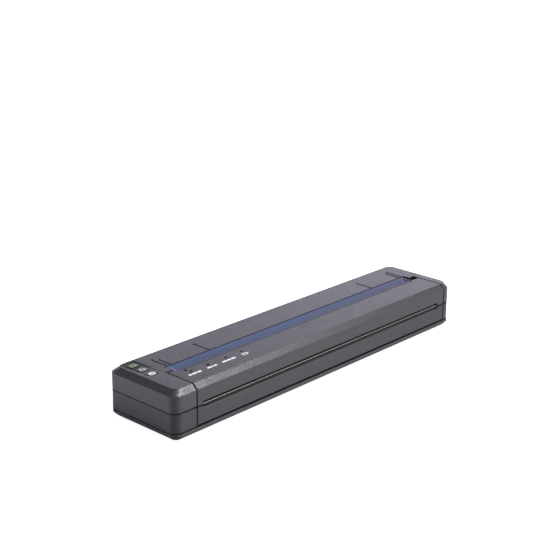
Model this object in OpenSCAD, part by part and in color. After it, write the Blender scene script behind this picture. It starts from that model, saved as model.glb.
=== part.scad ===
// Portable thermal printer for full-size sheets: a slim housing with a hinged platen module.
// Origin: middle of the footprint, at table level. X runs along the length, the front
// faces -Y and Z is up. All sizes are in millimetres.

/* [Housing] */
// Length of the housing, left end to right end
body_w = 255; // [250:1:290]
// Depth of the housing, front to rear
body_d = 55; // [55:1:64]
// Height of the printer, feet included
body_h = 30; // [30:0.5:36]
// Radius of the upright corners, seen from above
corner_r = 5.5; // [5:0.5:7]
// Wall of the moulded shells
wall = 1.8; // [1.6:0.1:2]
// Height of the bevel round the top
bevel_h = 3; // [2.6:0.1:3.4]
// Width of the bevel along the front
bevel_front = 3.2; // [2.8:0.1:3.8]
// Width of the bevel at the left end
bevel_left = 3.9; // [3.4:0.1:4.6]
// Width of the bevel along the rear
bevel_rear = 3.1; // [2.6:0.1:3.4]
// Width of the bevel at the right end
bevel_right = 1.5; // [1:0.1:2.5]
// Length of the left end cap, which holds the keys
cap_left = 17; // [16.5:0.5:19]
// Length of the right end cap
cap_right = 8; // [7.5:0.5:10]
// Distance from the top down to the seam between the lower and upper shells
mid_drop = 13.2; // [12.6:0.1:13.2]
// How far the base tray stands out along the front
tray_lip = 0.5; // [0.3:0.1:0.6]
// Height of the top of the base tray
plinth_top = 3.8; // [3.6:0.1:4.2]
// Shadow groove above the base tray
groove_h = 1.4; // [1.2:0.1:1.6]

/* [Paper path] */
// Distance from the front face to the paper slot in the top
cover_d = 30.5; // [30:0.5:31.5]
// Width of the paper slot in the top
slot_gap = 0.5; // [0.4:0.1:0.7]
// Radius of the rubber platen roller
platen_r = 5; // [4.8:0.1:5.1]
// Radius of the steel platen shaft
shaft_r = 2; // [1.6:0.1:2.2]
// Thickness of the curved paper guide
guide_t = 1.2; // [1:0.1:1.4]
// Length of the blue strip insert, front to rear
strip_d = 10; // [8:0.5:10]

/* [Drive] */
// Gear module
gear_module = 0.5; // [0.48:0.01:0.51]
// Width of the gears
gear_w = 2; // [1.6:0.1:2.2]
// Radius of the drive motor
motor_r = 9; // [8:0.25:9.5]

/* [Keys] */
// Size of a key along the length of the printer
key_w = 6; // [5:0.25:6.5]
// Size of a key from front to rear
key_d = 5; // [4.5:0.25:5.5]
// Distance from one key to the next
key_pitch = 7.95; // [7.6:0.05:8.1]
// How far a key goes down
key_travel = 0.5; // [0.3:0.1:0.6]

/* [Battery] */
// Gap round the battery pack in its bay
battery_gap = 0.25; // [0.2:0.05:0.5]
// Distance from the left end to the battery door
door_left = 35.2; // [35:0.2:38]
// Distance from the right end to the battery door
door_right = 17.5; // [17:0.5:20]

/* [Hidden] */

// Overrun of a cut past the face that it goes through
over = 1;
// Thickness of the thin slabs that a bevel is stretched between
skin = 0.02;
// Segments of the corners that a bevel is stretched between, and of true circles
hull_n = 40;
round_n = 64;
// Visible seam between neighbouring shells
seam = 0.4;
// Clearance between pieces that move past each other, and of a snug seat
run_gap = 0.3;
fit = 0.1;
// Radial clearance of a pin or shaft in its bore
shaft_fit = 0.05;

// Outer corners and levels of the housing
left_x = -body_w / 2;
right_x = body_w / 2;
front_y = -body_d / 2;
rear_y = body_d / 2;
foot_proud = 0.5;
floor_z = foot_proud + wall;
groove_top = plinth_top + groove_h;
bevel_z = body_h - bevel_h;
top_in = body_h - wall;
top_r = 5;
plinth_in = 2.6;
plinth_edge_z = 2.9;
plinth_rim = 2.4;
groove_d = 1;
tongue_h = 0.6;
tongue_t = 0.9;
mid_z = body_h - mid_drop;
seam_lo = mid_z - seam / 2;
seam_hi = mid_z + seam / 2;
tongue_z = seam_hi + tongue_h;
front_reveal = 0.35;

// The release module between the two end caps
mod_x0 = left_x + cap_left + seam / 2;
mod_x1 = right_x - cap_right - seam / 2;
mod_mid_x = (mod_x0 + mod_x1) / 2;
cap_l_x = mod_x0 - seam;
cap_r_x = mod_x1 + seam;
cap_wall = 1.6;
slot_y = front_y + cover_d;
cover_rear_y = slot_y - slot_gap / 2;
plate_front_y = slot_y + slot_gap / 2;
tab_w = 4.5;
tab_l_x1 = cap_l_x + tab_w;
tab_r_x0 = cap_r_x - tab_w;
tab_left_reach = 5.3;
tab_right_reach = 4.3;
tab_left_gap = 1.5;
tab_l_y = slot_y - tab_left_reach;
tab_r_y = slot_y - tab_right_reach;
step_l_y = tab_l_y - tab_left_gap;
step_r_y = tab_r_y - run_gap;
neck_x0 = tab_l_x1 + run_gap;
neck_x1 = tab_r_x0 - run_gap;
strip_t = 0.8;
strip_r = 2.5;
strip_y0 = cover_rear_y - strip_d;
strip_end = 3.4;
strip_x0 = neck_x0 + seam;
strip_x1 = neck_x1 - strip_end;

// Front hinge of the release module, low behind the front face
hinge_in = 2.2;
hinge_up = 2;
edge_r = 0.7;
pin_r = 1;
boss_r = 1.9;
hinge_y = front_y + hinge_in;
hinge_z = groove_top + hinge_up;
sweep_r = norm([hinge_in - edge_r, hinge_up - edge_r]) + edge_r;
boss_l = 5;

// Exit slot, tear bar and exit shelf in the front of the module
exit_left = 4.3;
exit_right = 6.3;
exit_x0 = mod_x0 + exit_left;
exit_x1 = mod_x1 - exit_right;
cover_lip_up = 2.2;
cover_edge_z = mid_z + cover_lip_up;
panel_down = 0.7;
panel_top_z = mid_z - panel_down;
panel_bevel_h = 1.9;
panel_bevel_d = 1.3;
shelf_reach = 6.2;
shelf_drop = 1.8;
shelf_t = 1.2;
tear_t = 0.4;
tear_tip_down = 0.05;
tear_tip_z = mid_z - tear_tip_down;
tear_tip_in = 0.55;
tear_flange = 4;

// Platen roller and the stack of pieces at each end of it
platen_fore = 0.75;
platen_y = front_y + cover_d / 2 - platen_fore;
platen_drop = 11.5;
platen_z = body_h - platen_drop;
side_wall = 1;
gear_room = 0.8;
plate_t = 1;
arm_t = 1;
roll_gap = 0.4;
gear_x0 = mod_x0 + side_wall + gear_room;
gear_x1 = gear_x0 + gear_w;
plate_l_x0 = gear_x1 + run_gap;
plate_l_x1 = plate_l_x0 + plate_t;
arm_l_x0 = plate_l_x1 + run_gap;
arm_l_x1 = arm_l_x0 + arm_t;
roll_x0 = arm_l_x1 + roll_gap;
roll_x1 = 2 * mod_mid_x - roll_x0;
arm_r_x0 = 2 * mod_mid_x - arm_l_x1;
arm_r_x1 = 2 * mod_mid_x - arm_l_x0;
plate_r_x0 = 2 * mod_mid_x - plate_l_x1;
plate_r_x1 = 2 * mod_mid_x - plate_l_x0;
bush_r = 3.5;
arm_eye_r = 5.2;
notch_ring_r = 8.2;
hinge_to_platen = norm([platen_y - hinge_y, platen_z - hinge_z]);
platen_angle = atan2(platen_z - hinge_z, platen_y - hinge_y);
notch_swing = 50;

// Gear train: platen gear, two idlers and the motor pinion
platen_teeth = 24;
idler_a_teeth = 24;
idler_b_teeth = 20;
pinion_teeth = 12;
gear_backlash = 0.12;
pressure_angle = 20;
// Radii at which a tooth's flank is drawn, from the pitch circle, as shares of the module
tooth_shares = [-1.25, -0.55, 0.1, 0.6, 1];
// The shaft ends in a flat that drives the platen gear
shaft_flat = shaft_r * 0.7;
post_r = 1.5;
post_head_r = 2.3;
post_head_t = 0.4;
motor_shaft_r = 1;
motor_shaft_l = 4;
motor_bore_x1 = plate_l_x1 + motor_shaft_l;
motor_flange = 2;
gear_space = 0.8;
motor_space = 0.5;
motor_lean = 38;
function pitch_r(teeth) = gear_module * teeth / 2;
function step_to(from, angle, reach) = from + reach * [cos(angle), sin(angle)];
platen_at = [platen_y, platen_z];
// The first idler lies where the platen gear leaves it squarely as the module opens, or
// as low as the floor lets it
reach_a = pitch_r(platen_teeth) + pitch_r(idler_a_teeth);
room_a = platen_z - floor_z - pitch_r(idler_a_teeth) - gear_module - gear_space;
mesh_angle_a = max(platen_angle - 90, -asin(min(1, room_a / reach_a)));
idler_a_at = step_to(platen_at, mesh_angle_a, reach_a);
mesh_angle_b = 0;
idler_b_at = step_to(idler_a_at, mesh_angle_b, pitch_r(idler_a_teeth) + pitch_r(idler_b_teeth));
// The motor leans up and back from the second idler as far as the top lets it
reach_m = pitch_r(idler_b_teeth) + pitch_r(pinion_teeth);
room_m = top_in - motor_space - motor_r - idler_b_at[1];
mesh_angle_m = min(motor_lean, asin(min(1, room_m / reach_m)));
pinion_at = step_to(idler_b_at, mesh_angle_m, reach_m);
// Turn of a gear whose gap meets the tooth of its neighbour on the line of centres
function mesh_turn(turn, teeth, next_teeth, angle) =
    angle + 180 + (angle - turn) * teeth / next_teeth + 180 / next_teeth;
platen_turn = mesh_angle_a;
idler_a_turn = mesh_turn(platen_turn, platen_teeth, idler_a_teeth, mesh_angle_a);
idler_b_turn = mesh_turn(idler_a_turn, idler_a_teeth, idler_b_teeth, mesh_angle_b);
pinion_turn = mesh_turn(idler_b_turn, idler_b_teeth, pinion_teeth, mesh_angle_m);

// Print head under the platen, on a pivot behind it
nip_gap = 0.15;
heater_t = 1;
heater_front = 4.5;
heater_rear = 7;
heater_z = platen_z - platen_r - nip_gap;
sink_t = 2.4;
sink_front = 5;
sink_rear = 9.4;
sink_z = heater_z - heater_t;
pivot_back = 11.5;
pivot_y = platen_y + pivot_back;
pivot_drop = 1.9;
pivot_z = sink_z - pivot_drop;
pivot_r = 1;
pivot_eye_r = 1.9;
eye_l = 3;
head_end_gap = 0.2;
driver_back = 3.7;
driver_y0 = platen_y + driver_back;
driver_h = 0.9;

// Curved paper guide, round a centre in front of the slot
guide_r = 14;
guide_straight = 4.2;
guide_bend_z = top_in - guide_straight;
guide_back_y = plate_front_y + guide_t;
guide_c = [guide_back_y - guide_r, guide_bend_z];
guide_sweep = 52;
sensor_off = 60;
sensor_x = mod_mid_x - sensor_off;
sensor_w = 5;
sensor_h = 3;

// Frames in the base
fence_t = 1;
fence_y0 = hinge_y + sweep_r + run_gap;
fence_lap = 0.8;
fence_top = groove_top + fence_lap;
frame_y0 = fence_y0 + fence_t + fit;
frame_y1 = slot_y - seam;
frame_over = 3;
frame_top = pivot_z + frame_over;
rail_in = 1;
rail_back = 7;
rail_y0 = frame_y0 + rail_in;
rail_y1 = platen_y + rail_back;
rail_t = 1;
rail_share = 0.4;
spring_r = 1.95;
spring_wire = 0.6;
spring_pitch = 1.05;
spring_count = 4;
spring_h = sink_z - sink_t - floor_z - rail_t;
spring_xs = [for (i = [0:spring_count - 1])
    roll_x0 + (roll_x1 - roll_x0) * (i + 1 / 2) / spring_count];
peg_r = 1.3;
peg_share = 0.33;

// Battery bay, its door and the walls round it
bay_wall_t = 1.2;
bay_y0 = guide_back_y + fit;
bay_y1 = bay_y0 + bay_wall_t;
jamb_t = 1.6;
door_x0 = left_x + door_left;
door_x1 = right_x - door_right;
door_gap = 0.3;
door_top = bevel_z - seam;
bay_shelf_z = 6.5;
bay_shelf_t = 1;
bay_floor_z = bay_shelf_z + bay_shelf_t;
door_hinge_y = rear_y - hinge_in;
shelf_end_y = door_hinge_y - sweep_r - run_gap;
battery_head = 2.2;
battery_rear = 1.7;
battery_start = 1;
battery_end = 3;
battery_top = top_in - battery_head;
battery_r = 2.5;
battery_y1 = rear_y - wall - battery_rear;
battery_x0 = door_x0 + battery_start;
battery_x1 = door_x1 - battery_end;
pack_end = 4;
contact_w = 9;
contact_h = 8;
contact_t = 1;
blade_w = 0.8;
blade_pitch = 3;

// Boards
board_t = 1;
standoff_h = 0.7;
standoff_r = 2;
standoff_in = 3;
board_front = 0.8;
board_rear = 1.2;
main_board_z = floor_z + standoff_h;
board_y0 = bay_y1 + board_front;
board_y1 = shelf_end_y - board_rear;
chip_w = 9;
can_r = 2;
chip_shares = [0.12, 0.31, 0.5, 0.7];
can_shares = [0.22, 0.34, 0.47, 0.59, 0.81, 0.9];
port_x0 = door_x1 + door_gap + jamb_t + fit;
port_x1 = right_x - wall - run_gap;
port_z = bay_shelf_z;
inlet_w = 8.4;
inlet_l = 11;
inlet_back = 1.5;
inlet_r = 2.9;
inlet_mouth_l = 4;
inlet_deep_r = 2.4;
inlet_nose_r = 3.6;
inlet_face_x = right_x - run_gap;
inlet_pin_r = 0.9;
inlet_pin_back = 1.2;
usb_w = 7.6;
usb_h = 3.2;
usb_l = 9;
usb_r = 1;
usb_shell = 0.4;
port_margin = 0.6;
port_space = 0.4;
usb_y = bay_y1 + port_margin + usb_w / 2;
usb_z = port_z + board_t + usb_h / 2;
inlet_y = usb_y + usb_w / 2 + port_space + inlet_w / 2;
inlet_z = port_z + board_t + inlet_w / 2;

// Keys and the panel round them
key_in = 10.6;
key_x = left_x + key_in;
key_first = 29.4;
key_y0 = front_y + key_first;
key_gap = 0.25;
key_r = 0.8;
key_flange = 1;
key_flange_t = 0.8;
panel_edge = 1.2;
panel_end = 0.8;
panel_front = 2.4;
panel_rear = 0.4;
panel_x0 = left_x + bevel_left + panel_edge;
panel_x1 = cap_l_x - panel_end;
panel_y0 = key_y0 - key_d / 2 - panel_front;
panel_y1 = rear_y - bevel_rear - panel_rear;
panel_drop = 0.6;
key_board_drop = 6.2;
key_board_in = 1;
key_board_z = top_in - key_board_drop;
key_board_x0 = left_x + wall + key_board_in;
key_board_x1 = cap_l_x - cap_wall - run_gap;
switch_w = 4.6;
switch_h = 2.4;
plunger_r = 1.1;
key_ys = [for (i = [0:2]) key_y0 + i * key_pitch];
key_post_r = 1.4;
key_screw_r = 0.6;
key_screw_at = [for (i = [0, 1]) [key_board_x0 + key_post_r, key_y0 + (i + 1 / 2) * key_pitch]];

// Lamps: place along the row and across it, as shares of the row's length and of the step
lamp_r = 0.7;
lamp_in = 16.2;
lamp_y = front_y + lamp_in;
lamp_row = 51;
lamp_step = 3.3;
lamp_shares = [[0.212, 0], [0.186, 1], [0.469, 0], [0.751, 0], [1, 0]];
lamp_at = [for (share = lamp_shares) [mod_x0 + lamp_row * share[0], lamp_y + lamp_step * share[1]]];
lamp_board_drop = 3.3;
lamp_board_z = top_in - lamp_board_drop;
lamp_board_t = 0.8;
lamp_board_over = 5;
lamp_board_front = 3.7;
lamp_board_rear = 4.6;
lamp_board_x0 = roll_x0 + 2 * fit;
lamp_board_x1 = mod_x0 + lamp_row + lamp_board_over;
lamp_board_y0 = lamp_y - lamp_board_front;
lamp_board_y1 = lamp_y + lamp_board_rear;
lamp_chip = 1.7;
lamp_chip_h = 0.9;
lamp_sink = 0.5;
lamp_boss_back = 2.6;
lamp_boss_y = lamp_y + lamp_boss_back;
lamp_boss_r = 1.8;
lamp_screw_l = 2.2;
lamp_boss_xs = [for (share = [0.35, 0.9]) mod_x0 + lamp_row * share];

// Ribs, web, scoop and screws of the module
rib_count = 9;
rib_t = 1.2;
rib_gap = 0.9;
web_t = 0.8;
web_in = 5.2;
web_w = 5;
web_y0 = front_y + web_in;
web_y1 = web_y0 + web_w;
scoop_r = 4.6;
scoop_rise = 1.2;
scoop_side = 0.4;
scoop_wall = 1;
scoop_x0 = strip_x1 + scoop_side;
scoop_z = body_h + scoop_rise;
scoop_back_z = scoop_z - scoop_r - scoop_wall;
screw_r = 0.9;
screw_fit = 0.02;
head_r = 1.6;
head_h = 0.9;
head_sink = 1;
boss_out = 5.4;
case_boss_r = 2.8;
case_boss_foot_r = 3.9;
foot_w = 12;
foot_d = 5;
foot_sink = 0.7;
foot_out = 16;
foot_in_y = 9.5;
case_screw_at = [for (sx = [-1, 1], sy = [-1, 1])
    [sx * (body_w / 2 - boss_out), sy * (body_d / 2 - boss_out)]];
foot_at = [for (sx = [-1, 1], sy = [-1, 1])
    [sx * (body_w / 2 - foot_out - foot_w / 2), sy * (body_d / 2 - foot_in_y)]];
module_screw_xs = [for (share = [0.06, 0.35, 0.65, 0.94]) arm_l_x0 + (arm_r_x1 - arm_l_x0) * share];

// Paper guide marks on the rear top, for three widths of sheet: places as shares of half
// the widest sheet, and lengths as shares of the longest mark
sheet_half = 108.5;
mark_l = 13;
mark_shares = [[-1, 1], [-0.972, 0.77], [-0.692, 1], [0.7, 1], [0.972, 0.85], [1, 1]];
mark_w = 0.55;
mark_d = 0.35;
mark_tick = 2;

// Colours of the materials
shell_grey = [0.36, 0.36, 0.39];
dark_grey = [0.22, 0.22, 0.24];
panel_grey = [0.33, 0.33, 0.36];
strip_blue = [0.36, 0.4, 0.52];
steel = [0.72, 0.73, 0.75];
zinc = [0.6, 0.62, 0.64];
rubber_black = [0.1, 0.1, 0.1];
board_green = [0.1, 0.35, 0.2];
part_black = [0.12, 0.12, 0.13];
gear_white = [0.88, 0.86, 0.8];
ceramic_white = [0.85, 0.84, 0.8];
key_dark = [0.2, 0.2, 0.21];
lamp_clear = [0.75, 0.85, 0.8];
brass_gold = [0.8, 0.65, 0.3];
pack_grey = [0.28, 0.3, 0.34];

// A box given by its two limits on each axis
module block(x0, x1, y0, y1, z0, z1) {
    translate([x0, y0, z0]) cube([x1 - x0, y1 - y0, z1 - z0]);
}

// Extrudes an outline drawn in Y and Z along the length, from x0 to x1
module along_x(x0, x1) {
    translate([x0, 0, 0]) rotate([90, 0, 90]) linear_extrude(height = x1 - x0) children();
}

// Extrudes a plan upwards from z0 to z1
module slab(z0, z1) {
    translate([0, 0, z0]) linear_extrude(height = z1 - z0) children();
}

// A round bar along the length
module rod_x(x0, x1, at, r) {
    along_x(x0, x1) translate(at) circle(r = r, $fn = round_n);
}

// Rectangle with round corners between two limits on each axis
module round_rect(x0, x1, y0, y1, r, n = round_n) {
    translate([x0 + r, y0]) square([x1 - x0 - 2 * r, y1 - y0]);
    translate([x0, y0 + r]) square([x1 - x0, y1 - y0 - 2 * r]);
    for (x = [x0 + r, x1 - r], y = [y0 + r, y1 - r]) translate([x, y]) circle(r = r, $fn = n);
}

// Plan of the housing, drawn in by a distance on every side
module plan(inset, n = round_n) {
    round_rect(left_x + inset, right_x - inset, front_y + inset, rear_y - inset,
               max(corner_r - inset, edge_r), n);
}

// Plan of the base tray, which stands out along the front
module tray_plan(inset, n = round_n) {
    round_rect(left_x + inset, right_x - inset, front_y - tray_lip + inset, rear_y - inset,
               max(corner_r - inset, edge_r), n);
}

// Part of a ring round c between two angles less than half a turn apart
module ring_part(c, r0, r1, a0, a1) {
    am = (a0 + a1) / 2;
    intersection() {
        translate(c) difference() {
            circle(r = r1, $fn = 2 * round_n);
            circle(r = r0, $fn = 2 * round_n);
        }
        polygon([c, step_to(c, a0, 3 * r1), step_to(c, am, 3 * r1), step_to(c, a1, 3 * r1)]);
    }
}

// Straight bar from a to b in a drawing, half wide on each side
module strut(a, b, half) {
    side = half * [a[1] - b[1], b[0] - a[0]] / norm(b - a);
    polygon([a + side, b + side, b - side, a - side]);
}

// Inset of the hollow's top edge that keeps the wall even behind a bevel of width c
function hollow_in(c) = (wall * norm([bevel_h, c]) + (bevel_h - wall) * c) / bevel_h;
hollow_drop = wall * (norm([bevel_h, bevel_front]) - bevel_h) / bevel_front;

// The housing above z0 as one solid: upright walls, then the bevel
module housing_solid(z0) {
    slab(z0, bevel_z) plan(0);
    hull() {
        slab(bevel_z - skin, bevel_z) plan(0, hull_n);
        slab(body_h - skin, body_h)
            round_rect(left_x + bevel_left, right_x - bevel_right,
                       front_y + bevel_front, rear_y - bevel_rear, top_r, hull_n);
    }
}

// The hollow of the housing above z0
module housing_hollow(z0) {
    slab(z0, bevel_z - hollow_drop) plan(wall);
    hull() {
        slab(bevel_z - hollow_drop - skin, bevel_z - hollow_drop) plan(wall, hull_n);
        slab(top_in - skin, top_in)
            round_rect(left_x + hollow_in(bevel_left), right_x - hollow_in(bevel_right),
                       front_y + hollow_in(bevel_front), rear_y - hollow_in(bevel_rear),
                       corner_r - wall, hull_n);
    }
}

module housing_shell(z0) {
    difference() {
        housing_solid(z0);
        housing_hollow(z0 - over);
    }
}

// Space of the fixed shells: both end caps, the rear and the two tabs at the slot's ends
module fixed_zone() {
    block(left_x - over, cap_l_x, front_y - over, rear_y + over, 0, body_h + over);
    block(cap_r_x, right_x + over, front_y - over, rear_y + over, 0, body_h + over);
    block(left_x - over, right_x + over, plate_front_y, rear_y + over, 0, body_h + over);
    block(cap_l_x - over, tab_l_x1, tab_l_y, rear_y, bevel_z, body_h + over);
    block(tab_r_x0, cap_r_x + over, tab_r_y, rear_y, bevel_z, body_h + over);
}

// Walls inside the fixed shells: cap walls, bay wall and the jambs of the battery door
module inner_walls(z0, z1) {
    block(cap_l_x - cap_wall, cap_l_x, front_y, plate_front_y, z0, z1);
    block(cap_r_x, cap_r_x + cap_wall, front_y, bay_y1, z0, z1);
    block(door_x0 - door_gap - jamb_t, cap_r_x + cap_wall, bay_y0, bay_y1, z0, z1);
    block(door_x0 - door_gap - jamb_t, door_x0 - door_gap, bay_y0, rear_y, z0, z1);
    block(door_x1 + door_gap, door_x1 + door_gap + jamb_t, bay_y0, rear_y, z0, z1);
}

// Wider part of the middle seam, across the front of both end caps
module front_reveals(z0, z1) {
    for (span = [[left_x + corner_r, cap_l_x + over], [cap_r_x - over, right_x - corner_r]])
        block(span[0], span[1], front_y - over, front_y + wall - tongue_t - fit, z0, z1);
}

// Everything outside the plan drawn in by a distance, between two heights
module outside_plan(inset, z0, z1) {
    slab(z0, z1) difference() {
        square([body_w + 2 * over, body_d + 2 * over], center = true);
        plan(inset);
    }
}

module door_opening() {
    block(door_x0 - door_gap, door_x1 + door_gap, rear_y - wall - run_gap, rear_y + over,
          0, door_top + door_gap);
}

// Holes of the power inlet and the data socket in the right end
module port_openings() {
    rod_x(right_x - wall - over, right_x + over, [inlet_y, inlet_z], inlet_nose_r + fit);
    along_x(right_x - wall - over, right_x + over)
        round_rect(usb_y - usb_w / 2 - run_gap, usb_y + usb_w / 2 + run_gap,
                   usb_z - usb_h / 2 - run_gap, usb_z + usb_h / 2 + run_gap, usb_r + run_gap);
}

// A pan head screw: head down at z, shank upwards to z1, with a cross recess
module screw_up(at, z, z1) {
    translate([at[0], at[1], z]) difference() {
        union() {
            cylinder(r = head_r, h = head_h, $fn = round_n);
            cylinder(r = screw_r, h = z1 - z, $fn = round_n);
        }
        for (turn = [0, 90]) rotate([0, 0, turn])
            translate([-head_r * 0.6, -screw_r / 4, -over])
                cube([head_r * 1.2, screw_r / 2, over + head_h / 2]);
    }
}

module bottom_cover() {
    color(dark_grey) difference() {
        union() {
            difference() {
                union() {
                    slab(plinth_edge_z, plinth_top) tray_plan(0);
                    hull() {
                        slab(plinth_edge_z - skin, plinth_edge_z) tray_plan(0, hull_n);
                        slab(foot_proud, foot_proud + skin) tray_plan(plinth_in, hull_n);
                    }
                }
                slab(floor_z, plinth_top + over) plan(plinth_rim);
            }
            block(plate_l_x0, plate_r_x1, fence_y0, fence_y0 + fence_t, foot_proud + skin, fence_top);
            block(door_x0, door_x1, shelf_end_y - fence_t, shelf_end_y, foot_proud + skin,
                  bay_shelf_z - fit);
            for (x = [battery_x0 + pack_end, battery_x1 - pack_end],
                 y = [board_y0 + standoff_in, board_y1 - standoff_in])
                slab(floor_z - skin, main_board_z) translate([x, y])
                    circle(r = standoff_r, $fn = round_n);
            for (x = [port_x0 + standoff_in, port_x1 - 2 * standoff_r],
                 y = [board_y0 + standoff_in, inlet_y - standoff_in])
                slab(floor_z - skin, port_z) translate([x, y])
                    circle(r = standoff_r, $fn = round_n);
        }
        for (at = foot_at)
            slab(0, foot_proud + foot_sink)
                round_rect(at[0] - foot_w / 2 - fit, at[0] + foot_w / 2 + fit,
                           at[1] - foot_d / 2 - fit, at[1] + foot_d / 2 + fit, foot_d / 2);
        for (at = case_screw_at) translate([at[0], at[1], 0]) {
            cylinder(r = head_r + run_gap, h = foot_proud + head_sink, $fn = round_n);
            cylinder(r = screw_r + run_gap, h = floor_z + over, $fn = round_n);
        }
    }
}

module lower_case() {
    color(dark_grey) difference() {
        union() {
            intersection() {
                difference() {
                    slab(plinth_top, tongue_z) plan(0);
                    slab(plinth_top - over, tongue_z + over) plan(wall);
                }
                fixed_zone();
            }
            intersection() {
                slab(plinth_top, tongue_z) plan(0);
                inner_walls(plinth_top, tongue_z);
            }
            block(door_x0 - door_gap - jamb_t, door_x1 + door_gap + jamb_t, bay_y0, shelf_end_y,
                  bay_shelf_z, bay_floor_z);
            intersection() {
                for (at = case_screw_at) translate([at[0], at[1], 0]) {
                    slab(floor_z, port_z - fit) circle(r = case_boss_r, $fn = round_n);
                    slab(plinth_top + fit, port_z - fit) circle(r = case_boss_foot_r, $fn = round_n);
                }
                fixed_zone();
            }
        }
        outside_plan(groove_d, plinth_top - over, groove_top);
        outside_plan(wall - tongue_t, seam_lo, tongue_z + over);
        front_reveals(seam_lo - front_reveal, seam_hi);
        rod_x(cap_l_x - cap_wall - over, cap_l_x + over, [hinge_y, hinge_z], pin_r + shaft_fit);
        rod_x(cap_r_x - over, cap_r_x + cap_wall + over, [hinge_y, hinge_z], pin_r + shaft_fit);
        rod_x(door_x0 - door_gap - jamb_t - over, door_x0, [door_hinge_y, hinge_z], pin_r + shaft_fit);
        rod_x(door_x1, door_x1 + door_gap + jamb_t + over, [door_hinge_y, hinge_z], pin_r + shaft_fit);
        door_opening();
        for (at = case_screw_at) translate([at[0], at[1], 0])
            cylinder(r = screw_r + screw_fit, h = port_z, $fn = round_n);
        port_openings();
    }
}

module key_hole(y) {
    slab(top_in - over, body_h + over)
        round_rect(key_x - key_w / 2 - key_gap, key_x + key_w / 2 + key_gap,
                   y - key_d / 2 - key_gap, y + key_d / 2 + key_gap, key_r + key_gap);
}

// Sunken panel round the keys: deepest at the rear, running out at the front
module key_panel_cut() {
    along_x(panel_x0, panel_x1)
        polygon([[panel_y0, body_h], [panel_y1, body_h - panel_drop], [panel_y1, body_h + over],
                 [panel_y0, body_h + over]]);
}

module guide_marks() {
    for (share = mark_shares) {
        x = mod_mid_x + sheet_half * share[0];
        y = plate_front_y + mark_l * share[1];
        block(x - mark_w / 2, x + mark_w / 2, plate_front_y - over, y, body_h - mark_d, body_h + over);
        block(x - mark_tick / 2, x + mark_tick / 2, y, y + mark_w, body_h - mark_d, body_h + over);
    }
}

module upper_case() {
    color(shell_grey) difference() {
        union() {
            intersection() {
                housing_shell(seam_hi);
                fixed_zone();
            }
            intersection() {
                housing_solid(seam_hi);
                union() {
                    inner_walls(tongue_z, body_h);
                    for (at = key_screw_at)
                        translate([at[0], at[1], key_board_z + board_t])
                            cylinder(r = key_post_r, h = body_h, $fn = round_n);
                    for (i = [1:3])
                        translate([battery_x0 + (battery_x1 - battery_x0) * i / 4, bay_y0,
                                   battery_top + battery_gap])
                            cube([rib_t, rear_y - wall - bay_y0, body_h]);
                }
            }
        }
        difference() {
            slab(seam_hi - over, tongue_z) plan(wall - tongue_t - fit);
            slab(seam_hi - over - over, tongue_z) plan(wall + over);
        }
        front_reveals(seam_lo, seam_hi + front_reveal);
        for (y = key_ys) key_hole(y);
        for (at = key_screw_at) translate([at[0], at[1], key_board_z])
            cylinder(r = key_screw_r + screw_fit, h = top_in - key_board_z, $fn = round_n);
        key_panel_cut();
        guide_marks();
        door_opening();
        port_openings();
    }
}

module rubber_feet() {
    color(rubber_black) for (at = foot_at)
        slab(0, foot_proud + foot_sink)
            round_rect(at[0] - foot_w / 2, at[0] + foot_w / 2,
                       at[1] - foot_d / 2, at[1] + foot_d / 2, foot_d / 2 - fit);
}

module case_screws() {
    color(zinc) for (at = case_screw_at)
        screw_up(at, foot_proud + head_sink - head_h, port_z - 2 * fit - screw_r);
}

// Notch that lets the bush swing in and out round the front hinge
module bush_notch() {
    ring_part([hinge_y, hinge_z], hinge_to_platen - bush_r - run_gap,
              hinge_to_platen + bush_r + run_gap, platen_angle, platen_angle + notch_swing);
    translate(platen_at) circle(r = bush_r + run_gap, $fn = round_n);
}

module side_plate(x0, x1, motor) {
    color(steel) along_x(x0, x1) difference() {
        union() {
            translate([frame_y0, floor_z])
                square([frame_y1 - frame_y0, frame_top - floor_z]);
            translate(platen_at) circle(r = notch_ring_r, $fn = round_n);
            if (motor) {
                intersection() {
                    translate(pinion_at) circle(r = motor_r + motor_flange, $fn = round_n);
                    translate([front_y, 0]) square([body_d, top_in - run_gap]);
                }
                translate([frame_y0, floor_z])
                    square([pinion_at[0] + motor_r - frame_y0, idler_a_at[1] - floor_z]);
            }
        }
        bush_notch();
        translate([pivot_y, pivot_z]) circle(r = pivot_r + screw_fit, $fn = round_n);
        if (motor) {
            for (at = [idler_a_at, idler_b_at])
                translate(at) circle(r = post_r + screw_fit, $fn = round_n);
            translate(pinion_at) circle(r = motor_shaft_r + run_gap, $fn = round_n);
        }
    }
}
module side_plate_left() { side_plate(plate_l_x0, plate_l_x1, true); }
module side_plate_right() { side_plate(plate_r_x0, plate_r_x1, false); }

// Channel across the floor that carries the springs of the print head
module spring_rail() {
    color(steel) {
        along_x(plate_l_x1, plate_r_x0) {
            translate([rail_y0, floor_z]) square([rail_y1 - rail_y0, rail_t]);
            for (y = [rail_y0, rail_y1 - rail_t])
                translate([y, floor_z]) square([rail_t, rail_t + spring_h * rail_share]);
        }
        for (x = spring_xs) translate([x, platen_y, floor_z])
            cylinder(r = peg_r, h = rail_t + spring_h * peg_share, $fn = round_n);
    }
}

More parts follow.
